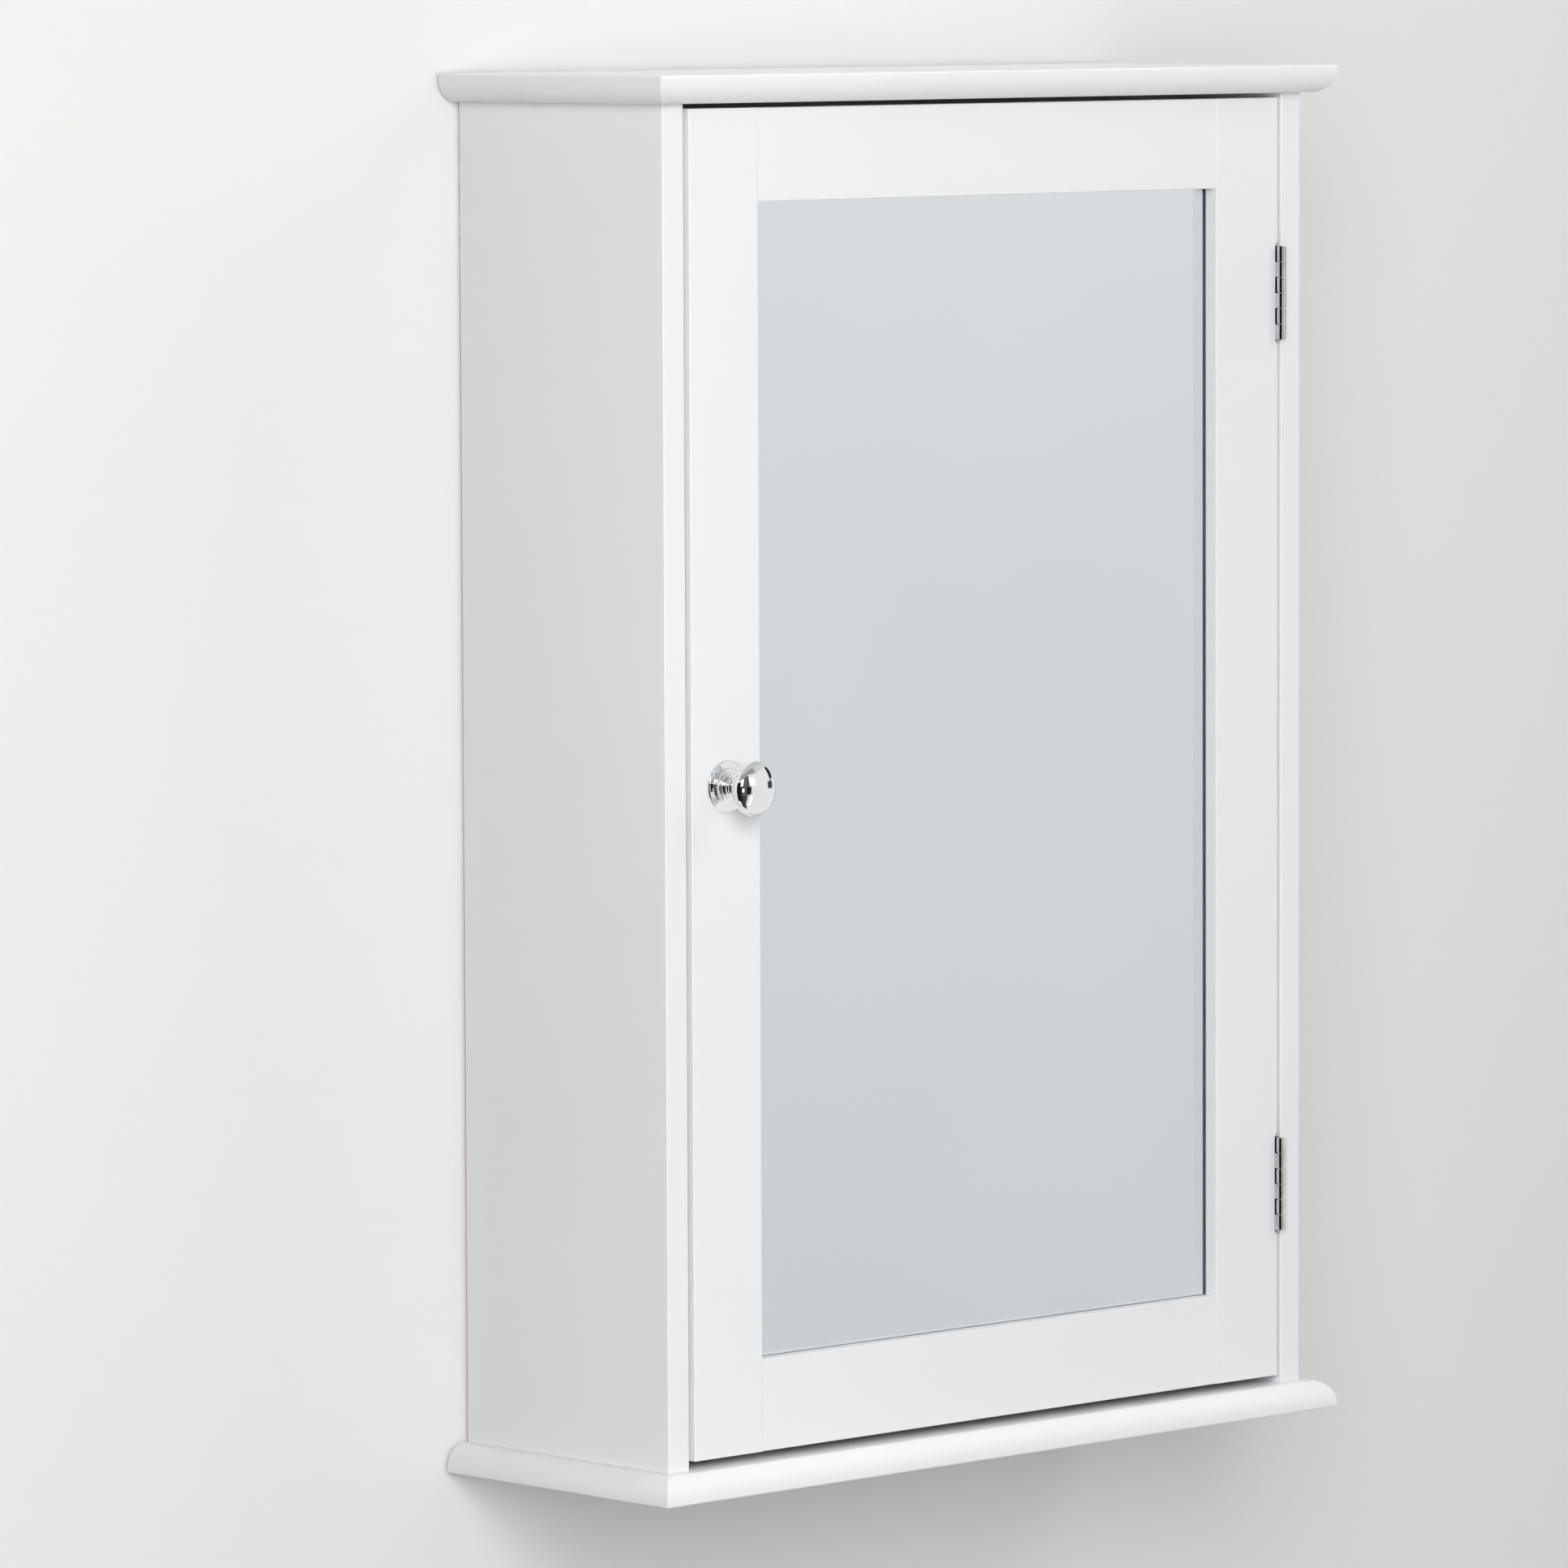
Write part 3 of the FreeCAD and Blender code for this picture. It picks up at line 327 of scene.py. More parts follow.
def faced_hardboard(name, bare_from):
    """White in front of this depth, and bare fibre behind it."""
    material, tree, surface, place = new_finish(name)
    fibre = grain(tree, place, per_metre=420.0, detail=6.0)
    bare = blend_colours(tree, fibre, (0.35, FIBRE_DARK), (0.62, FIBRE_PALE))
    depth = lay(tree, "ShaderNodeSeparateXYZ", {"Vector": place}).outputs["Y"]
    behind = reckon(tree, "GREATER_THAN", depth, bare_from)
    colour = mix_colours(tree, behind, BOARD_FACE, bare)
    coat(tree, surface, colour, spread(tree, fibre, low=0.45, high=0.7))
    roughen(tree, surface, fibre, depth=0.05 * MM, strength=0.4)
    return material


_, back_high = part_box("back_panel")
dress("back_panel", faced_hardboard("back_hardboard", bare_from=back_high.y - BARE_SKIN))

# Shelves and their pins
# Two painted boards that lie loose on collared steel pins, with spare rows of holes above and below.
# Their arrises are eased all round.
SHELF_EASE = 0.6 * MM

for shelf in ("upper_shelf", "lower_shelf"):
    eased(shelf, white_paint, SHELF_EASE)
dress("shelf_pins", bright_zinc)

# Hanger plates
# Stamped keyhole plates, let on to the rear edges of the sides. Each is held by two countersunk screws
# with a cross recess.
PLATE_EASE = 0.2 * MM
WOOD_SCREW_SHANK = 1.5 * MM
HANGER_HEAD = 2.7 * MM
SCREW_POINT = 2.5 * MM
SCREW_TIP_SHARE = 0.2
SCREW_SIDES = 40
LOW_CORNER, HIGH_CORNER = 0, 6
FIRST_TURN, NEXT_TURN = 0.3, 1.1
RECESS_SHARE = 0.56
RECESS_WIDTH = 0.85 * MM
RECESS_DEPTH = 1.1 * MM
RECESS_TAPER = 0.6


def turned(name, stations, sides):
    """A form turned about the Z axis, through stations of radius and height. Radius 0 closes it."""
    (radius, height), *following = stations
    bpy.ops.object.select_all(action="DESELECT")
    bpy.ops.mesh.primitive_circle_add(
        vertices=sides,
        radius=radius,
        fill_type="NGON",
        location=(0, 0, height),
    )
    piece = bpy.context.object
    piece.name = name
    bpy.ops.object.transform_apply(location=True, rotation=True, scale=True)
    bpy.ops.object.mode_set(mode="EDIT")
    bpy.ops.mesh.select_mode(type="FACE")
    bpy.ops.mesh.select_all(action="SELECT")
    for next_radius, next_height in following:
        rise = (0, 0, next_height - height)
        bpy.ops.mesh.extrude_region_move(TRANSFORM_OT_translate={"value": rise})
        if next_radius == 0:
            bpy.ops.mesh.merge(type="CENTER")
        else:
            ratio = next_radius / radius
            bpy.ops.transform.resize(value=(ratio, ratio, 1), center_override=(0, 0, next_height))
        radius, height = next_radius, next_height
    bpy.ops.mesh.select_all(action="SELECT")
    bpy.ops.mesh.normals_make_consistent(inside=False)
    bpy.ops.object.mode_set(mode="OBJECT")
    return piece


def cross_recess(screw, head_radius):
    """Sinks a tapered cross into the head, whose face is at height 0."""
    bpy.ops.object.select_all(action="DESELECT")
    bpy.ops.mesh.primitive_cube_add(size=1, scale=(RECESS_WIDTH, RECESS_WIDTH, RECESS_DEPTH * 2))
    cross = bpy.context.object
    bpy.ops.object.transform_apply(location=True, rotation=True, scale=True)
    for face in cross.data.polygons:
        face.select = round(face.normal.z) == 0
    bpy.ops.object.mode_set(mode="EDIT")
    bpy.ops.mesh.select_mode(type="FACE")
    arm = head_radius * RECESS_SHARE - RECESS_WIDTH / 2
    bpy.ops.mesh.extrude_faces_move(TRANSFORM_OT_shrink_fatten={"value": arm})
    bpy.ops.object.mode_set(mode="OBJECT")
    for face in cross.data.polygons:
        face.select = round(face.normal.z) == -1
    bpy.ops.object.mode_set(mode="EDIT")
    recess_foot = (0, 0, -RECESS_DEPTH)
    bpy.ops.transform.resize(value=(RECESS_TAPER, RECESS_TAPER, 1), center_override=recess_foot)
    bpy.ops.object.mode_set(mode="OBJECT")
    select_only(screw)
    sink = screw.modifiers.new("sink", "BOOLEAN")
    sink.operation = "DIFFERENCE"
    sink.object = cross
    bpy.ops.object.modifier_apply(modifier=sink.name)
    bpy.data.objects.remove(cross)


def lone_boxes(node):
    """The box of each solid in a node."""
    welded_copy(node)
    bpy.ops.object.mode_set(mode="EDIT")
    bpy.ops.mesh.select_all(action="SELECT")
    bpy.ops.mesh.separate(type="LOOSE")
    bpy.ops.object.mode_set(mode="OBJECT")
    corners = [solid.bound_box for solid in bpy.context.selected_objects]
    boxes = [(Vector(eight[LOW_CORNER]), Vector(eight[HIGH_CORNER])) for eight in corners]
    bpy.ops.object.delete()
    return sorted(boxes, key=lambda box: tuple(box[0]))


def drive_screws(node, head_rows, shank, facing, material):
    """Models one screw, its head through the given rows, and drives a copy at each place of the node."""
    boxes = lone_boxes(node)
    first_low, first_high = boxes[0]
    length = abs((first_high - first_low).dot(facing))
    point = [(shank, SCREW_POINT - length), (shank * SCREW_TIP_SHARE, -length)]
    pattern = turned("screw_pattern", [*head_rows, *point], SCREW_SIDES)
    cross_recess(pattern, max(radius for radius, height in head_rows))
    stand = facing.to_track_quat("Z", "Y").to_matrix().to_4x4()
    copies = []
    for index, (low, high) in enumerate(boxes):
        copy = pattern.copy()
        copy.data = pattern.data.copy()
        bpy.context.scene.collection.objects.link(copy)
        head_middle = (low + high) / 2 + facing * length / 2
        turn = Matrix.Rotation(FIRST_TURN + NEXT_TURN * index, 4, "Z")
        copy.matrix_world = Matrix.Translation(head_middle) @ stand @ turn
        copies.append(copy)
    bpy.data.objects.remove(pattern)
    select_only(copies[0])
    for copy in copies:
        copy.select_set(True)
    if len(copies) > 1:
        bpy.ops.object.join()
    bpy.ops.object.transform_apply(location=True, rotation=True, scale=True)
    screws = bpy.context.object
    screws.name = f"{node}_crossed"
    even_shading(screws)
    take_over(screws, node, material)


def sunk_head(head, shank):
    return [(head, 0), (shank, shank - head)]


for plate in ("left_hanger_plate", "right_hanger_plate"):
    eased(plate, bright_zinc, PLATE_EASE)
hanger_rows = sunk_head(HANGER_HEAD, WOOD_SCREW_SHANK)
to_rear = Vector((0, 1, 0))
drive_screws("hanger_screws", hanger_rows, WOOD_SCREW_SHANK, to_rear, bright_zinc)

# Magnetic catch
# A moulded white housing screwed to the left side, with a ferrite magnet between two steel poles. Its
# two screws have raised heads.
PLASTIC_WHITE = (0.80, 0.80, 0.785, 1.0)
PLASTIC_SHADED = (0.76, 0.76, 0.745, 1.0)
FERRITE = (0.045, 0.045, 0.048, 1.0)
FERRITE_FLECK = (0.09, 0.09, 0.095, 1.0)
HOUSING_EASE = 0.3 * MM
CATCH_HEAD = 2.8 * MM
CATCH_HEAD_RISE = 1.6 * MM
CROWN_RISE_SHARE = 0.55
CROWN_TOP_SHARE = 0.55


def moulded_plastic():
    material, tree, surface, place = new_finish("white_plastic")
    drift = grain(tree, place, per_metre=90.0)
    colour = blend_colours(tree, drift, (GRAIN_LOW, PLASTIC_SHADED), (GRAIN_HIGH, PLASTIC_WHITE))
    sheen = spread(tree, grain(tree, place, per_metre=1500.0), low=0.42, high=0.55)
    coat(tree, surface, colour, sheen)
    roughen(tree, surface, grain(tree, place, per_metre=2500.0), depth=0.02 * MM, strength=0.4)
    return material


def ferrite():
    material, tree, surface, place = new_finish("sintered_ferrite")
    fleck = grain(tree, place, per_metre=2200.0, detail=3.0)
    colour = blend_colours(tree, fleck, (0.4, FERRITE), (0.7, FERRITE_FLECK))
    coat(tree, surface, colour, spread(tree, fleck, low=0.7, high=0.5))
    roughen(tree, surface, fleck, depth=0.03 * MM, strength=0.5)
    return material


def bow(along, away, steps):
    """Stations on the arc that leaves the first one along the axis and ends at the second."""
    across, rise = away[0] - along[0], away[1] - along[1]
    radius = (across**2 + rise**2) / (2 * across)
    turn = math.asin(rise / radius)
    angles = [turn * step / steps for step in range(steps + 1)]
    return [(along[0] + radius * (1 - math.cos(a)), along[1] + radius * math.sin(a)) for a in angles]


def raised_head(head, rise, shank):
    """A domed head on a flat seat."""
    crown_foot = (head, -rise * CROWN_RISE_SHARE)
    crown_top = (head * CROWN_TOP_SHARE, 0)
    crown = bow(crown_foot, crown_top, steps=6)[::-1]
    return [*crown, (head, -rise), (shank, -rise)]


eased("catch_housing", moulded_plastic(), HOUSING_EASE)
dress("catch_magnet", ferrite())
dress("catch_pole_plates", bright_zinc)
catch_rows = raised_head(CATCH_HEAD, CATCH_HEAD_RISE, WOOD_SCREW_SHANK)
to_right = Vector((1, 0, 0))
drive_screws("catch_screws", catch_rows, WOOD_SCREW_SHANK, to_right, bright_zinc)

# Door frame
# Two stiles run the full height, and two rails are dowelled between them. The joints are filled and
# painted over, and still show as hairlines.
for member in ("latch_stile", "hinge_stile", "top_rail", "bottom_rail"):
    dress(member, white_paint)

# Mirror
# A 2 mm silvered float pane lies behind the frame's lip. The silver is on its far side and looks 1 mm
# deep through the glass, so the lip and its image stand a hair apart. A hardboard back, white all over,
# and four mitred beads hold it in.
SILVER_TINT = (0.875, 0.900, 0.912, 1.0)
SILVER_DEEP = (0.850, 0.880, 0.897, 1.0)
SILVER_DEPTH = 1.0 * MM
GROUND_EDGE = 0.3 * MM
GROUND_STEPS = 2
BARE_NOWHERE = 1.0
BEAD_EASE = 0.4 * MM


def silvered_glass():
    """Silver seen through glass: a cool tint and a surface that is almost, but not quite, flat."""
    material, tree, surface, place = new_finish("silvered_glass")
    tint = blend_colours(tree, grain(tree, place, per_metre=5.0), (0.35, SILVER_DEEP), (0.65, SILVER_TINT))
    sheen = spread(tree, grain(tree, place, per_metre=35.0), low=0.0, high=0.003)
    coat(tree, surface, tint, sheen)
    surface.inputs["Metallic"].default_value = 1.0
    waves = grain(tree, place, per_metre=14.0, detail=0.0)
    roughen(tree, surface, waves, depth=0.004 * MM, strength=0.5)
    return material


glass_low, glass_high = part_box("mirror_glass")
silver_low = glass_low + Vector((0, SILVER_DEPTH, 0))
pane_size = glass_high - silver_low
pane_middle = (silver_low + glass_high) / 2
bpy.ops.object.select_all(action="DESELECT")
bpy.ops.mesh.primitive_cube_add(size=1, location=pane_middle, scale=pane_size)
pane = bpy.context.object
pane.name = "mirror_pane"
bpy.ops.object.transform_apply(location=True, rotation=True, scale=True)
bpy.ops.object.mode_set(mode="EDIT")
bpy.ops.mesh.select_all(action="SELECT")
bpy.ops.mesh.bevel(offset=GROUND_EDGE, segments=GROUND_STEPS, affect="EDGES")
bpy.ops.object.mode_set(mode="OBJECT")
take_over(pane, "mirror_glass", silvered_glass())

dress("mirror_backing", faced_hardboard("backing_hardboard", bare_from=BARE_NOWHERE))
for bead in ("left_bead", "right_bead", "top_bead", "bottom_bead"):
    eased(bead, white_paint, BEAD_EASE)

# Hinges
# Two nickel-plated butt hinges. Each has two leaves, whose knuckles take turns along one pin, and four
# countersunk screws.
NICKEL_SHADED = (0.60, 0.585, 0.56, 1.0)
NICKEL_BRIGHT = (0.72, 0.705, 0.68, 1.0)
LEAF_EASE = 0.12 * MM
HINGE_HEAD = 2.5 * MM


def bright_nickel():
    material, tree, surface, place = new_finish("bright_nickel")
    mottle = grain(tree, place, per_metre=180.0)
    colour = blend_colours(tree, mottle, (0.35, NICKEL_SHADED), (0.65, NICKEL_BRIGHT))
    sheen = spread(tree, grain(tree, place, per_metre=700.0), low=0.04, high=0.09)
    coat(tree, surface, colour, sheen)
    surface.inputs["Metallic"].default_value = 1.0
    roughen(tree, surface, grain(tree, place, per_metre=900.0), depth=0.005 * MM, strength=0.3)
    return material


nickel = bright_nickel()
for hinge in ("upper_hinge", "lower_hinge"):
    for leaf in ("cabinet_leaf", "door_leaf"):
        eased(f"{hinge}_{leaf}", nickel, LEAF_EASE)
    dress(f"{hinge}_pin", nickel)
hinge_rows = sunk_head(HINGE_HEAD, WOOD_SCREW_SHANK)
drive_screws("hinge_cabinet_screws", hinge_rows, WOOD_SCREW_SHANK, -to_right, nickel)
drive_screws("hinge_door_screws", hinge_rows, WOOD_SCREW_SHANK, to_right, nickel)

# Knob
# A turned knob on a stepped rose, both polished and chrome plated. A pan-headed screw through the
# stile draws them tight from behind.
CHROME_SHADED = (0.86, 0.87, 0.885, 1.0)
CHROME_BRIGHT = (0.92, 0.925, 0.935, 1.0)
ROSE_STEPS = ((11.15 * MM, 1.3 * MM), (8.0 * MM, 1.0 * MM), (6.0 * MM, 0.9 * MM))
ROSE_ROUNDING = 0.75 * MM
COLLAR_RADIUS, COLLAR_HEIGHT = 4.6 * MM, 0.9 * MM
NECK_RADIUS, NECK_HEIGHT = 3.4 * MM, 2.4 * MM
FLARE_RADIUS, FLARE_HEIGHT = 8.6 * MM, 5.3 * MM
RIM_RADIUS, RIM_HEIGHT = 11.6 * MM, 4.0 * MM
SHOULDER_RADIUS, SHOULDER_HEIGHT = 9.7 * MM, 3.3 * MM
DOME_HEIGHT = 2.6 * MM
TURNING_SIDES = 144
PAN_HEAD = 4.0 * MM
PAN_HEAD_RISE = 2.2 * MM
KNOB_SCREW_SHANK = 2.0 * MM


def polished_chrome():
    material, tree, surface, place = new_finish("polished_chrome")
    mottle = grain(tree, place, per_metre=60.0)
    colour = blend_colours(tree, mottle, (0.35, CHROME_SHADED), (0.65, CHROME_BRIGHT))
    sheen = spread(tree, grain(tree, place, per_metre=300.0), low=0.02, high=0.05)
    coat(tree, surface, colour, sheen)
    surface.inputs["Metallic"].default_value = 1.0
    return material


def face_forward(piece, spot):
    """Turns a form about the Z axis to look out of the door's front, with its foot at the spot."""
    piece.matrix_world = Matrix.Translation(spot) @ Matrix.Rotation(math.pi / 2, 4, "X")
    select_only(piece)
    bpy.ops.object.transform_apply(location=True, rotation=True, scale=True)
    even_shading(piece)


chrome = polished_chrome()
rose_low, rose_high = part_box("knob_rose")
knob_foot = Vector(((rose_low.x + rose_high.x) / 2, rose_high.y, (rose_low.z + rose_high.z) / 2))
rose_rows = []
rose_top = 0
for step_radius, step_height in ROSE_STEPS:
    rose_rows.append((step_radius, rose_top))
    rose_top += step_height
    rounding_foot = (step_radius, rose_top - ROSE_ROUNDING)
    rounding_top = (step_radius - ROSE_ROUNDING, rose_top)
    rose_rows += bow(rounding_foot, rounding_top, steps=6)
rose = turned("stepped_rose", rose_rows, TURNING_SIDES)
face_forward(rose, knob_foot)
take_over(rose, "knob_rose", chrome)

collar_top = rose_top + COLLAR_HEIGHT
neck_foot = collar_top + COLLAR_RADIUS - NECK_RADIUS
neck_top = neck_foot + NECK_HEIGHT
flare_top = neck_top + FLARE_HEIGHT
rim_level = flare_top + RIM_HEIGHT
shoulder_level = rim_level + SHOULDER_HEIGHT
dome_top = shoulder_level + DOME_HEIGHT
dome_down = bow((dome_top, 0), (shoulder_level, SHOULDER_RADIUS), steps=20)
dome = [(radius, height) for height, radius in dome_down][::-1]
knob_rows = [
    (COLLAR_RADIUS, rose_top),
    (COLLAR_RADIUS, collar_top),
    *bow((NECK_RADIUS, neck_foot), (COLLAR_RADIUS, collar_top), steps=6)[-2::-1],
    *bow((NECK_RADIUS, neck_top), (FLARE_RADIUS, flare_top), steps=12),
    *bow((RIM_RADIUS, rim_level), (FLARE_RADIUS, flare_top), steps=14)[-2::-1],
    *bow((RIM_RADIUS, rim_level), (SHOULDER_RADIUS, shoulder_level), steps=14)[1:],
    *dome[1:],
]
knob = turned("turned_knob", knob_rows, TURNING_SIDES)
face_forward(knob, knob_foot)
take_over(knob, "knob", chrome)
pan_rows = raised_head(PAN_HEAD, PAN_HEAD_RISE, KNOB_SCREW_SHANK)
drive_screws("knob_screw", pan_rows, KNOB_SCREW_SHANK, to_rear, bright_zinc)

# Strike plate
# A small steel plate that the catch's poles pull on, held to the back of the door by one screw.
# Its edges are eased like the hanger plates'.
STRIKE_HEAD = 2.5 * MM

eased("strike_plate", bright_zinc, PLATE_EASE)
strike_rows = sunk_head(STRIKE_HEAD, WOOD_SCREW_SHANK)
drive_screws("strike_screw", strike_rows, WOOD_SCREW_SHANK, to_rear, bright_zinc)

# Stage
# A pale backdrop stands just behind the cabinet, on a pale floor. It throws little light back on to the
# cabinet, and lets light through to its rear. Neither can be seen from its far side.
BACKDROP_GAP = 0.5 * MM
STAGE_REACH = 4.0
FLOOR_LEVEL = -1.6
FLOOR_PALE = (0.83, 0.825, 0.81, 1.0)
FLOOR_ROUGHNESS = 0.7
FLOOR_GLOW = 0.4
BACKDROP_PALE = (0.715, 0.71, 0.695, 1.0)
BACKDROP_BOUNCE = (0.25, 0.25, 0.25, 1.0)
BACKDROP_ROUGHNESS = 0.8
BACKDROP_GLOW = 0.12
FAR_GLOW = 0.6
FAR_FROM, FAR_TO = 0.8, 3.0
NEAR_REAR = 30.0 * MM
FIRST_BOUNCE = 1.0
HALF_A_BOUNCE = 0.5


def let_through(tree, surface, share):
    """Makes this share of the surface clear."""
    clear = lay(tree, "ShaderNodeBsdfTransparent")
    mixed = lay(tree, "ShaderNodeMixShader", {0: share, 1: surface.outputs[0], 2: clear.outputs[0]})
    tree.links.new(mixed.outputs[0], tree.nodes["Material Output"].inputs["Surface"])


def backdrop_finish():
    """Matt and pale, darker for the light that it throws back, with a glow that grows outwards."""
    material, tree, surface, place = new_finish("backdrop_matt")
    path = lay(tree, "ShaderNodeLightPath").outputs
    thrown = path["Is Diffuse Ray"]
    colour = mix_colours(tree, thrown, BACKDROP_PALE, BACKDROP_BOUNCE)
    tree.links.new(colour, surface.inputs["Base Color"])
    surface.inputs["Roughness"].default_value = BACKDROP_ROUGHNESS
    surface.inputs["Emission Color"].default_value = BACKDROP_PALE
    cabinet_middle = (cad_box[0][2] + cad_box[1][2]) / 2
    cabinet_place = (0, cabinet_middle - FLOOR_LEVEL - STAGE_REACH, 0)
    away = lay(tree, "ShaderNodeVectorMath", {0: place, 1: cabinet_place}, operation="DISTANCE")
    glow = remap(tree, away.outputs["Value"], FAR_FROM, FAR_TO, BACKDROP_GLOW, FAR_GLOW)
    dimmed = remap(tree, thrown, 0.0, 1.0, low=glow, high=0.0)
    tree.links.new(dimmed, surface.inputs["Emission Strength"])
    near = reckon(tree, "LESS_THAN", path["Ray Length"], NEAR_REAR)
    first = reckon(tree, "COMPARE", path["Ray Depth"], FIRST_BOUNCE, HALF_A_BOUNCE)
    to_cabinet_rear = reckon(tree, "MULTIPLY", near, first)
    from_behind = lay(tree, "ShaderNodeNewGeometry").outputs["Backfacing"]
    let_through(tree, surface, reckon(tree, "MAXIMUM", to_cabinet_rear, from_behind))
    return material


def floor_finish():
    """Matt and pale, a little brighter to the eye than the lamps make it."""
    material, tree, surface, _ = new_finish("floor_matt")
    surface.inputs["Base Color"].default_value = FLOOR_PALE
    surface.inputs["Roughness"].default_value = FLOOR_ROUGHNESS
    surface.inputs["Emission Color"].default_value = FLOOR_PALE
    to_eye = lay(tree, "ShaderNodeLightPath").outputs["Is Camera Ray"]
    tree.links.new(reckon(tree, "MULTIPLY", to_eye, FLOOR_GLOW), surface.inputs["Emission Strength"])
    let_through(tree, surface, lay(tree, "ShaderNodeNewGeometry").outputs["Backfacing"])
    return material


bpy.ops.object.select_all(action="DESELECT")
bpy.ops.mesh.primitive_plane_add(size=STAGE_REACH * 2, location=(0, 0, FLOOR_LEVEL))
floor = bpy.context.object
floor.name = "floor"
floor.visible_glossy = False
floor.data.materials.append(floor_finish())
bpy.ops.mesh.primitive_plane_add(
    size=STAGE_REACH * 2,
    location=(0, BACKDROP_GAP, FLOOR_LEVEL + STAGE_REACH),
    rotation=(math.pi / 2, 0, 0),
)
backdrop = bpy.context.object
backdrop.name = "backdrop"
backdrop.data.materials.append(backdrop_finish())

# Light
# A large soft lamp at the front left, a weaker one at the upper right and one behind, in a pale room. Two
# gridded lamps light the right side and the top alone. Dark and pale screens and softboxes stand round
# for the polished metal to mirror, and nothing else sees them.
ROOM_STOPS = (
    (0.0, (0.55, 0.55, 0.55, 1.0)),
    (0.42, (0.67, 0.68, 0.69, 1.0)),
    (0.5, (0.80, 0.81, 0.82, 1.0)),
    (1.0, (0.55, 0.55, 0.55, 1.0)),
)
ROOM_LIGHT = 0.36
SIDE_GRID = math.radians(36)
TOP_GRID = math.radians(60)
# Brightness, degrees to the left from and to, and the height of the line of sight from and to.
MIRRORED = {
    "pale_room": (0.86, (-181, 181), (-1.1, 0.5)),
    "grey_ceiling": (0.35, (-30, 70), (0.52, 0.8)),
    "grey_screen": (0.12, (-3, 28), (-0.28, 0.5)),
    "dark_cloth": (0.06, (2, 60), (-0.93, -0.27)),
    "dark_hanging": (0.015, (27, 96), (-0.7, 0.4)),
    "dark_screen": (0.015, (-7, 6), (-0.24, 0.06)),
    "pale_board": (2.6, (13, 21), (-0.15, -0.01)),
    "low_board": (1.5, (-12, -7), (-0.62, -0.3)),
    "front_softbox": (3.5, (-17, -4), (0.12, 0.38)),
    "side_softbox": (3.5, (18, 42), (0.14, 0.44)),
    "doorway": (0.06, (-78, -59), (-0.07, 0.12)),
    "dark_beam": (0.02, (-84, -70), (0.14, 0.46)),
}
SOFT_TURN = math.radians(2)
SOFT_HEIGHT = 0.03


def soft_lamp(name, spot, aim, size, power, grid=math.pi):
    """A lamp that lights the scene and isn't seen or mirrored. The grid narrows its beam."""
    data = bpy.data.lights.new(name, "AREA")
    data.shape = "RECTANGLE"
    data.size, data.size_y = size
    data.energy = power
    data.spread = grid
    lamp = bpy.data.objects.new(name, data)
    lamp.location = spot
    lamp.rotation_euler = (Vector(aim) - Vector(spot)).to_track_quat("-Z", "Y").to_euler()
    lamp.visible_camera = False
    lamp.visible_glossy = False
    bpy.context.scene.collection.objects.link(lamp)


def within(tree, value, low, high, soft):
    """1 from low to high, falling softly to 0 outside."""
    rise = remap(tree, value, low - soft, low + soft, interpolation_type="SMOOTHSTEP")
    fall = remap(tree, value, high + soft, high - soft, interpolation_type="SMOOTHSTEP")
    return reckon(tree, "MULTIPLY", rise, fall)


soft_lamp("key_lamp", spot=(-1.55, -1.94, 0.37), aim=(0.0, -0.12, -0.24), size=(1.4, 1.4), power=49.5)
soft_lamp("fill_lamp", spot=(1.2, -1.0, 1.1), aim=(0.45, 0.0, 0.1), size=(0.9, 1.2), power=7.5)
soft_lamp("rear_lamp", spot=(0.7, 1.9, 0.7), aim=(0.0, 0.0, -0.24), size=(1.6, 1.6), power=18.0)
soft_lamp("side_lamp", spot=(2.2, -0.2, 0.2), aim=(0.2, -0.07, -0.24), size=(0.3, 1.6), power=0.9,
          grid=SIDE_GRID)
soft_lamp("top_lamp", spot=(0.0, -0.2, 1.7), aim=(0.0, -0.12, 0.06), size=(0.5, 0.3), power=0.9,
          grid=TOP_GRID)

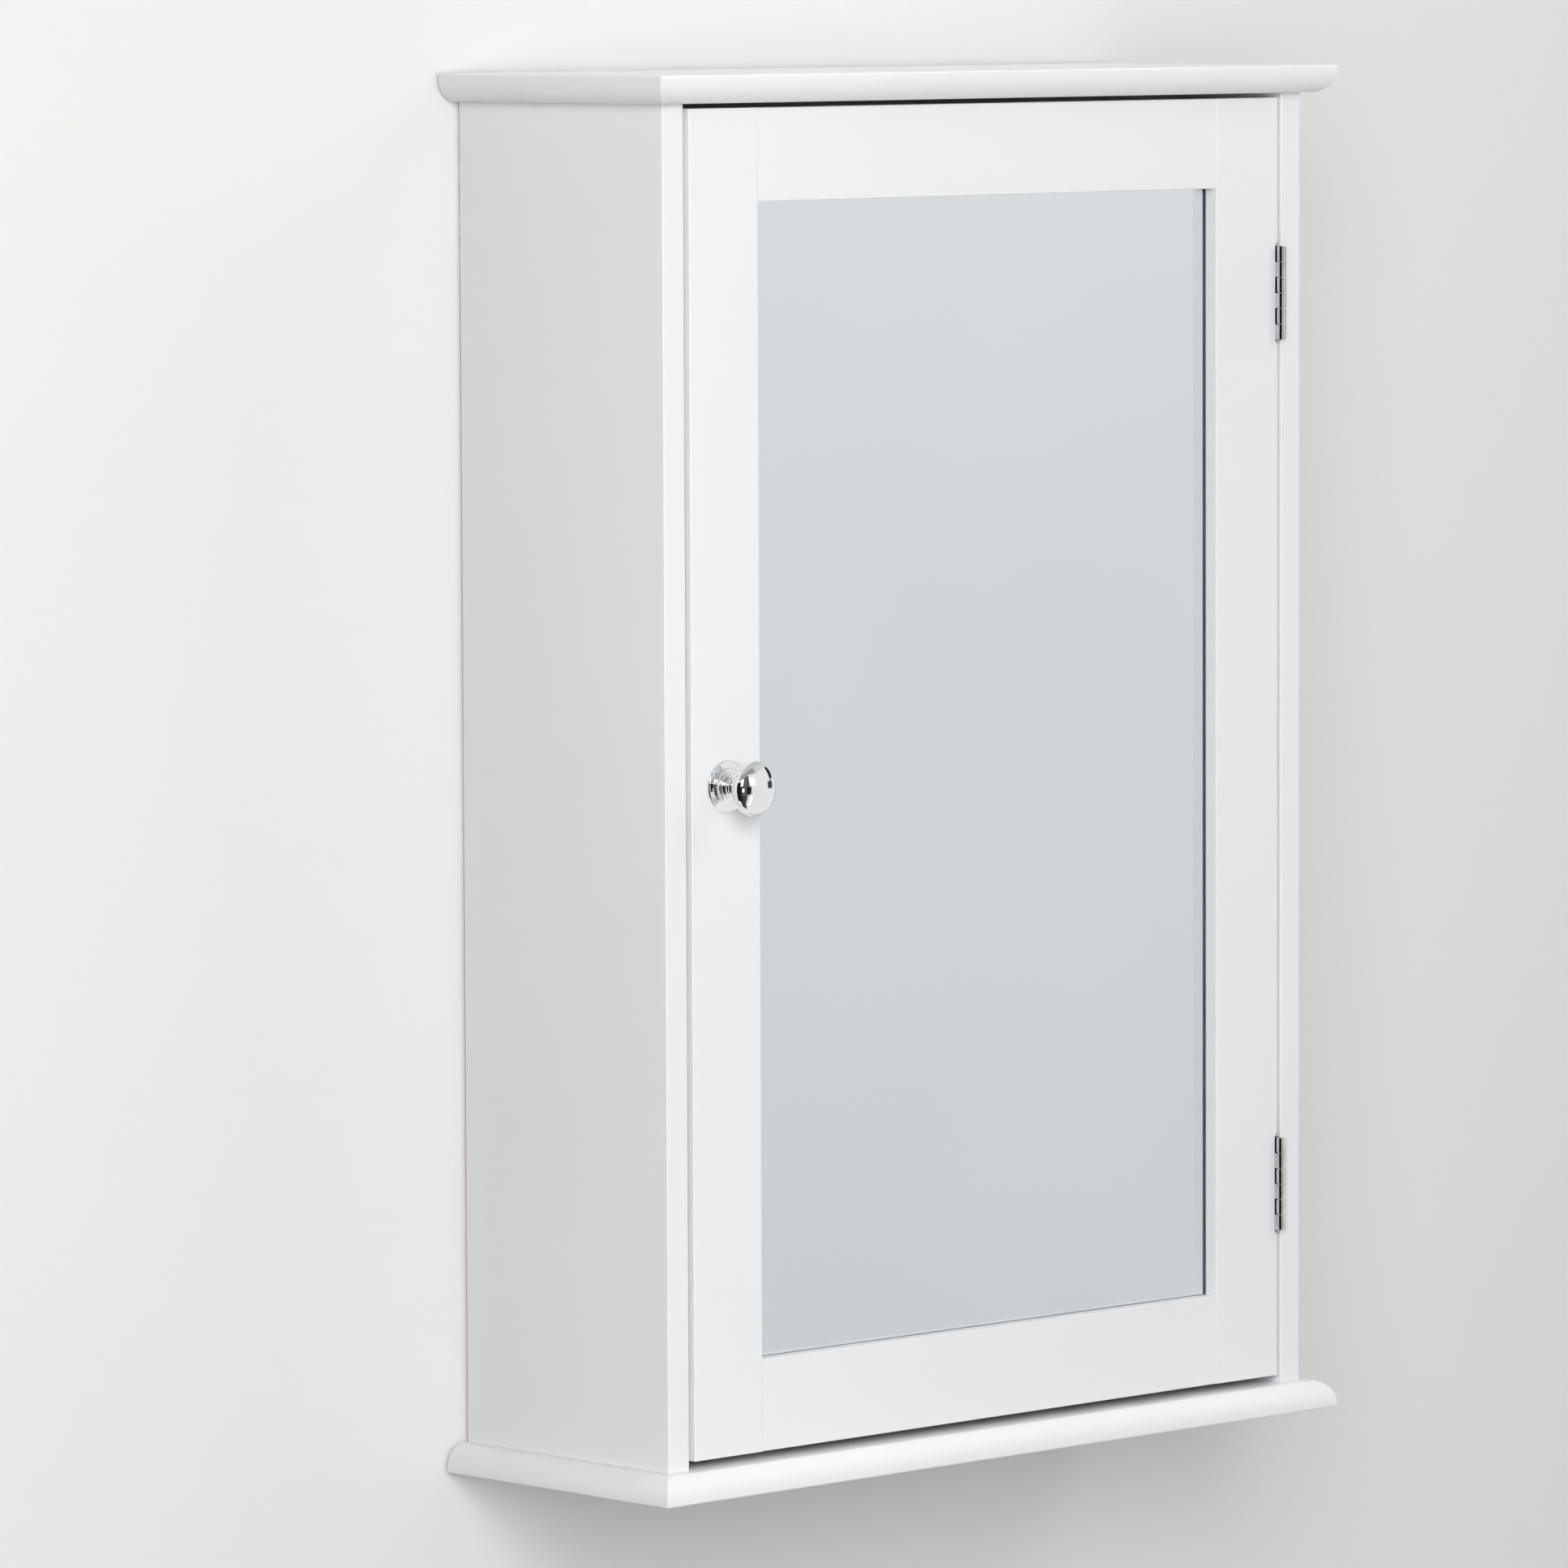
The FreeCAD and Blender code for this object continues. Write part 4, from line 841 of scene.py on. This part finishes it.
world = bpy.data.worlds.new("room")
bpy.context.scene.world = world
world.use_nodes = True
room = world.node_tree
line_of_sight = lay(room, "ShaderNodeTexCoord").outputs["Generated"]
way = lay(room, "ShaderNodeSeparateXYZ", {"Vector": line_of_sight}).outputs
room_colour = blend_colours(room, remap(room, way["Z"], -1.0, 1.0), *ROOM_STOPS)
leftward = reckon(room, "MULTIPLY", way["X"], -1.0)
frontward = reckon(room, "MULTIPLY", way["Y"], -1.0)
bearing = reckon(room, "ARCTAN2", leftward, frontward)
path = lay(room, "ShaderNodeLightPath").outputs
from_metal = reckon(room, "SUBTRACT", path["Is Glossy Ray"], path["Is Singular Ray"])
for brightness, bearings, heights in MIRRORED.values():
    from_right, from_left = (math.radians(degrees) for degrees in bearings)
    across = within(room, bearing, from_right, from_left, SOFT_TURN)
    upright = within(room, way["Z"], *heights, SOFT_HEIGHT)
    patch = reckon(room, "MULTIPLY", across, upright)
    share = reckon(room, "MULTIPLY", patch, from_metal)
    shade = (brightness, brightness, brightness, 1.0)
    room_colour = mix_colours(room, share, room_colour, shade)
background = room.nodes["Background"]
room.links.new(room_colour, background.inputs["Color"])
in_sight = reckon(room, "MAXIMUM", path["Is Camera Ray"], path["Is Glossy Ray"])
strength = remap(room, in_sight, 0.0, 1.0, low=ROOM_LIGHT, high=1.0)
room.links.new(strength, background.inputs["Strength"])

# Camera
# It stands to the left, level with the top of the cabinet, and looks slightly down. The lens is long, so
# upright edges stay almost upright.
SENSOR = 36.0
LENS = 224.94
CAMERA_SPOT = (-2.9754, -3.1226, 0.1134)
YAW, PITCH, ROLL = (math.radians(angle) for angle in (43.592, 4.889, 0.2166))

camera_data = bpy.data.cameras.new("camera")
camera_data.sensor_width = SENSOR
camera_data.lens = LENS
camera = bpy.data.objects.new("camera", camera_data)
aim = Matrix.Rotation(-YAW, 4, "Z") @ Matrix.Rotation(math.pi / 2 - PITCH, 4, "X")
camera.matrix_world = Matrix.Translation(CAMERA_SPOT) @ aim @ Matrix.Rotation(-ROLL, 4, "Z")
bpy.context.scene.collection.objects.link(camera)
bpy.context.scene.camera = camera
bpy.context.scene.view_settings.view_transform = "Standard"
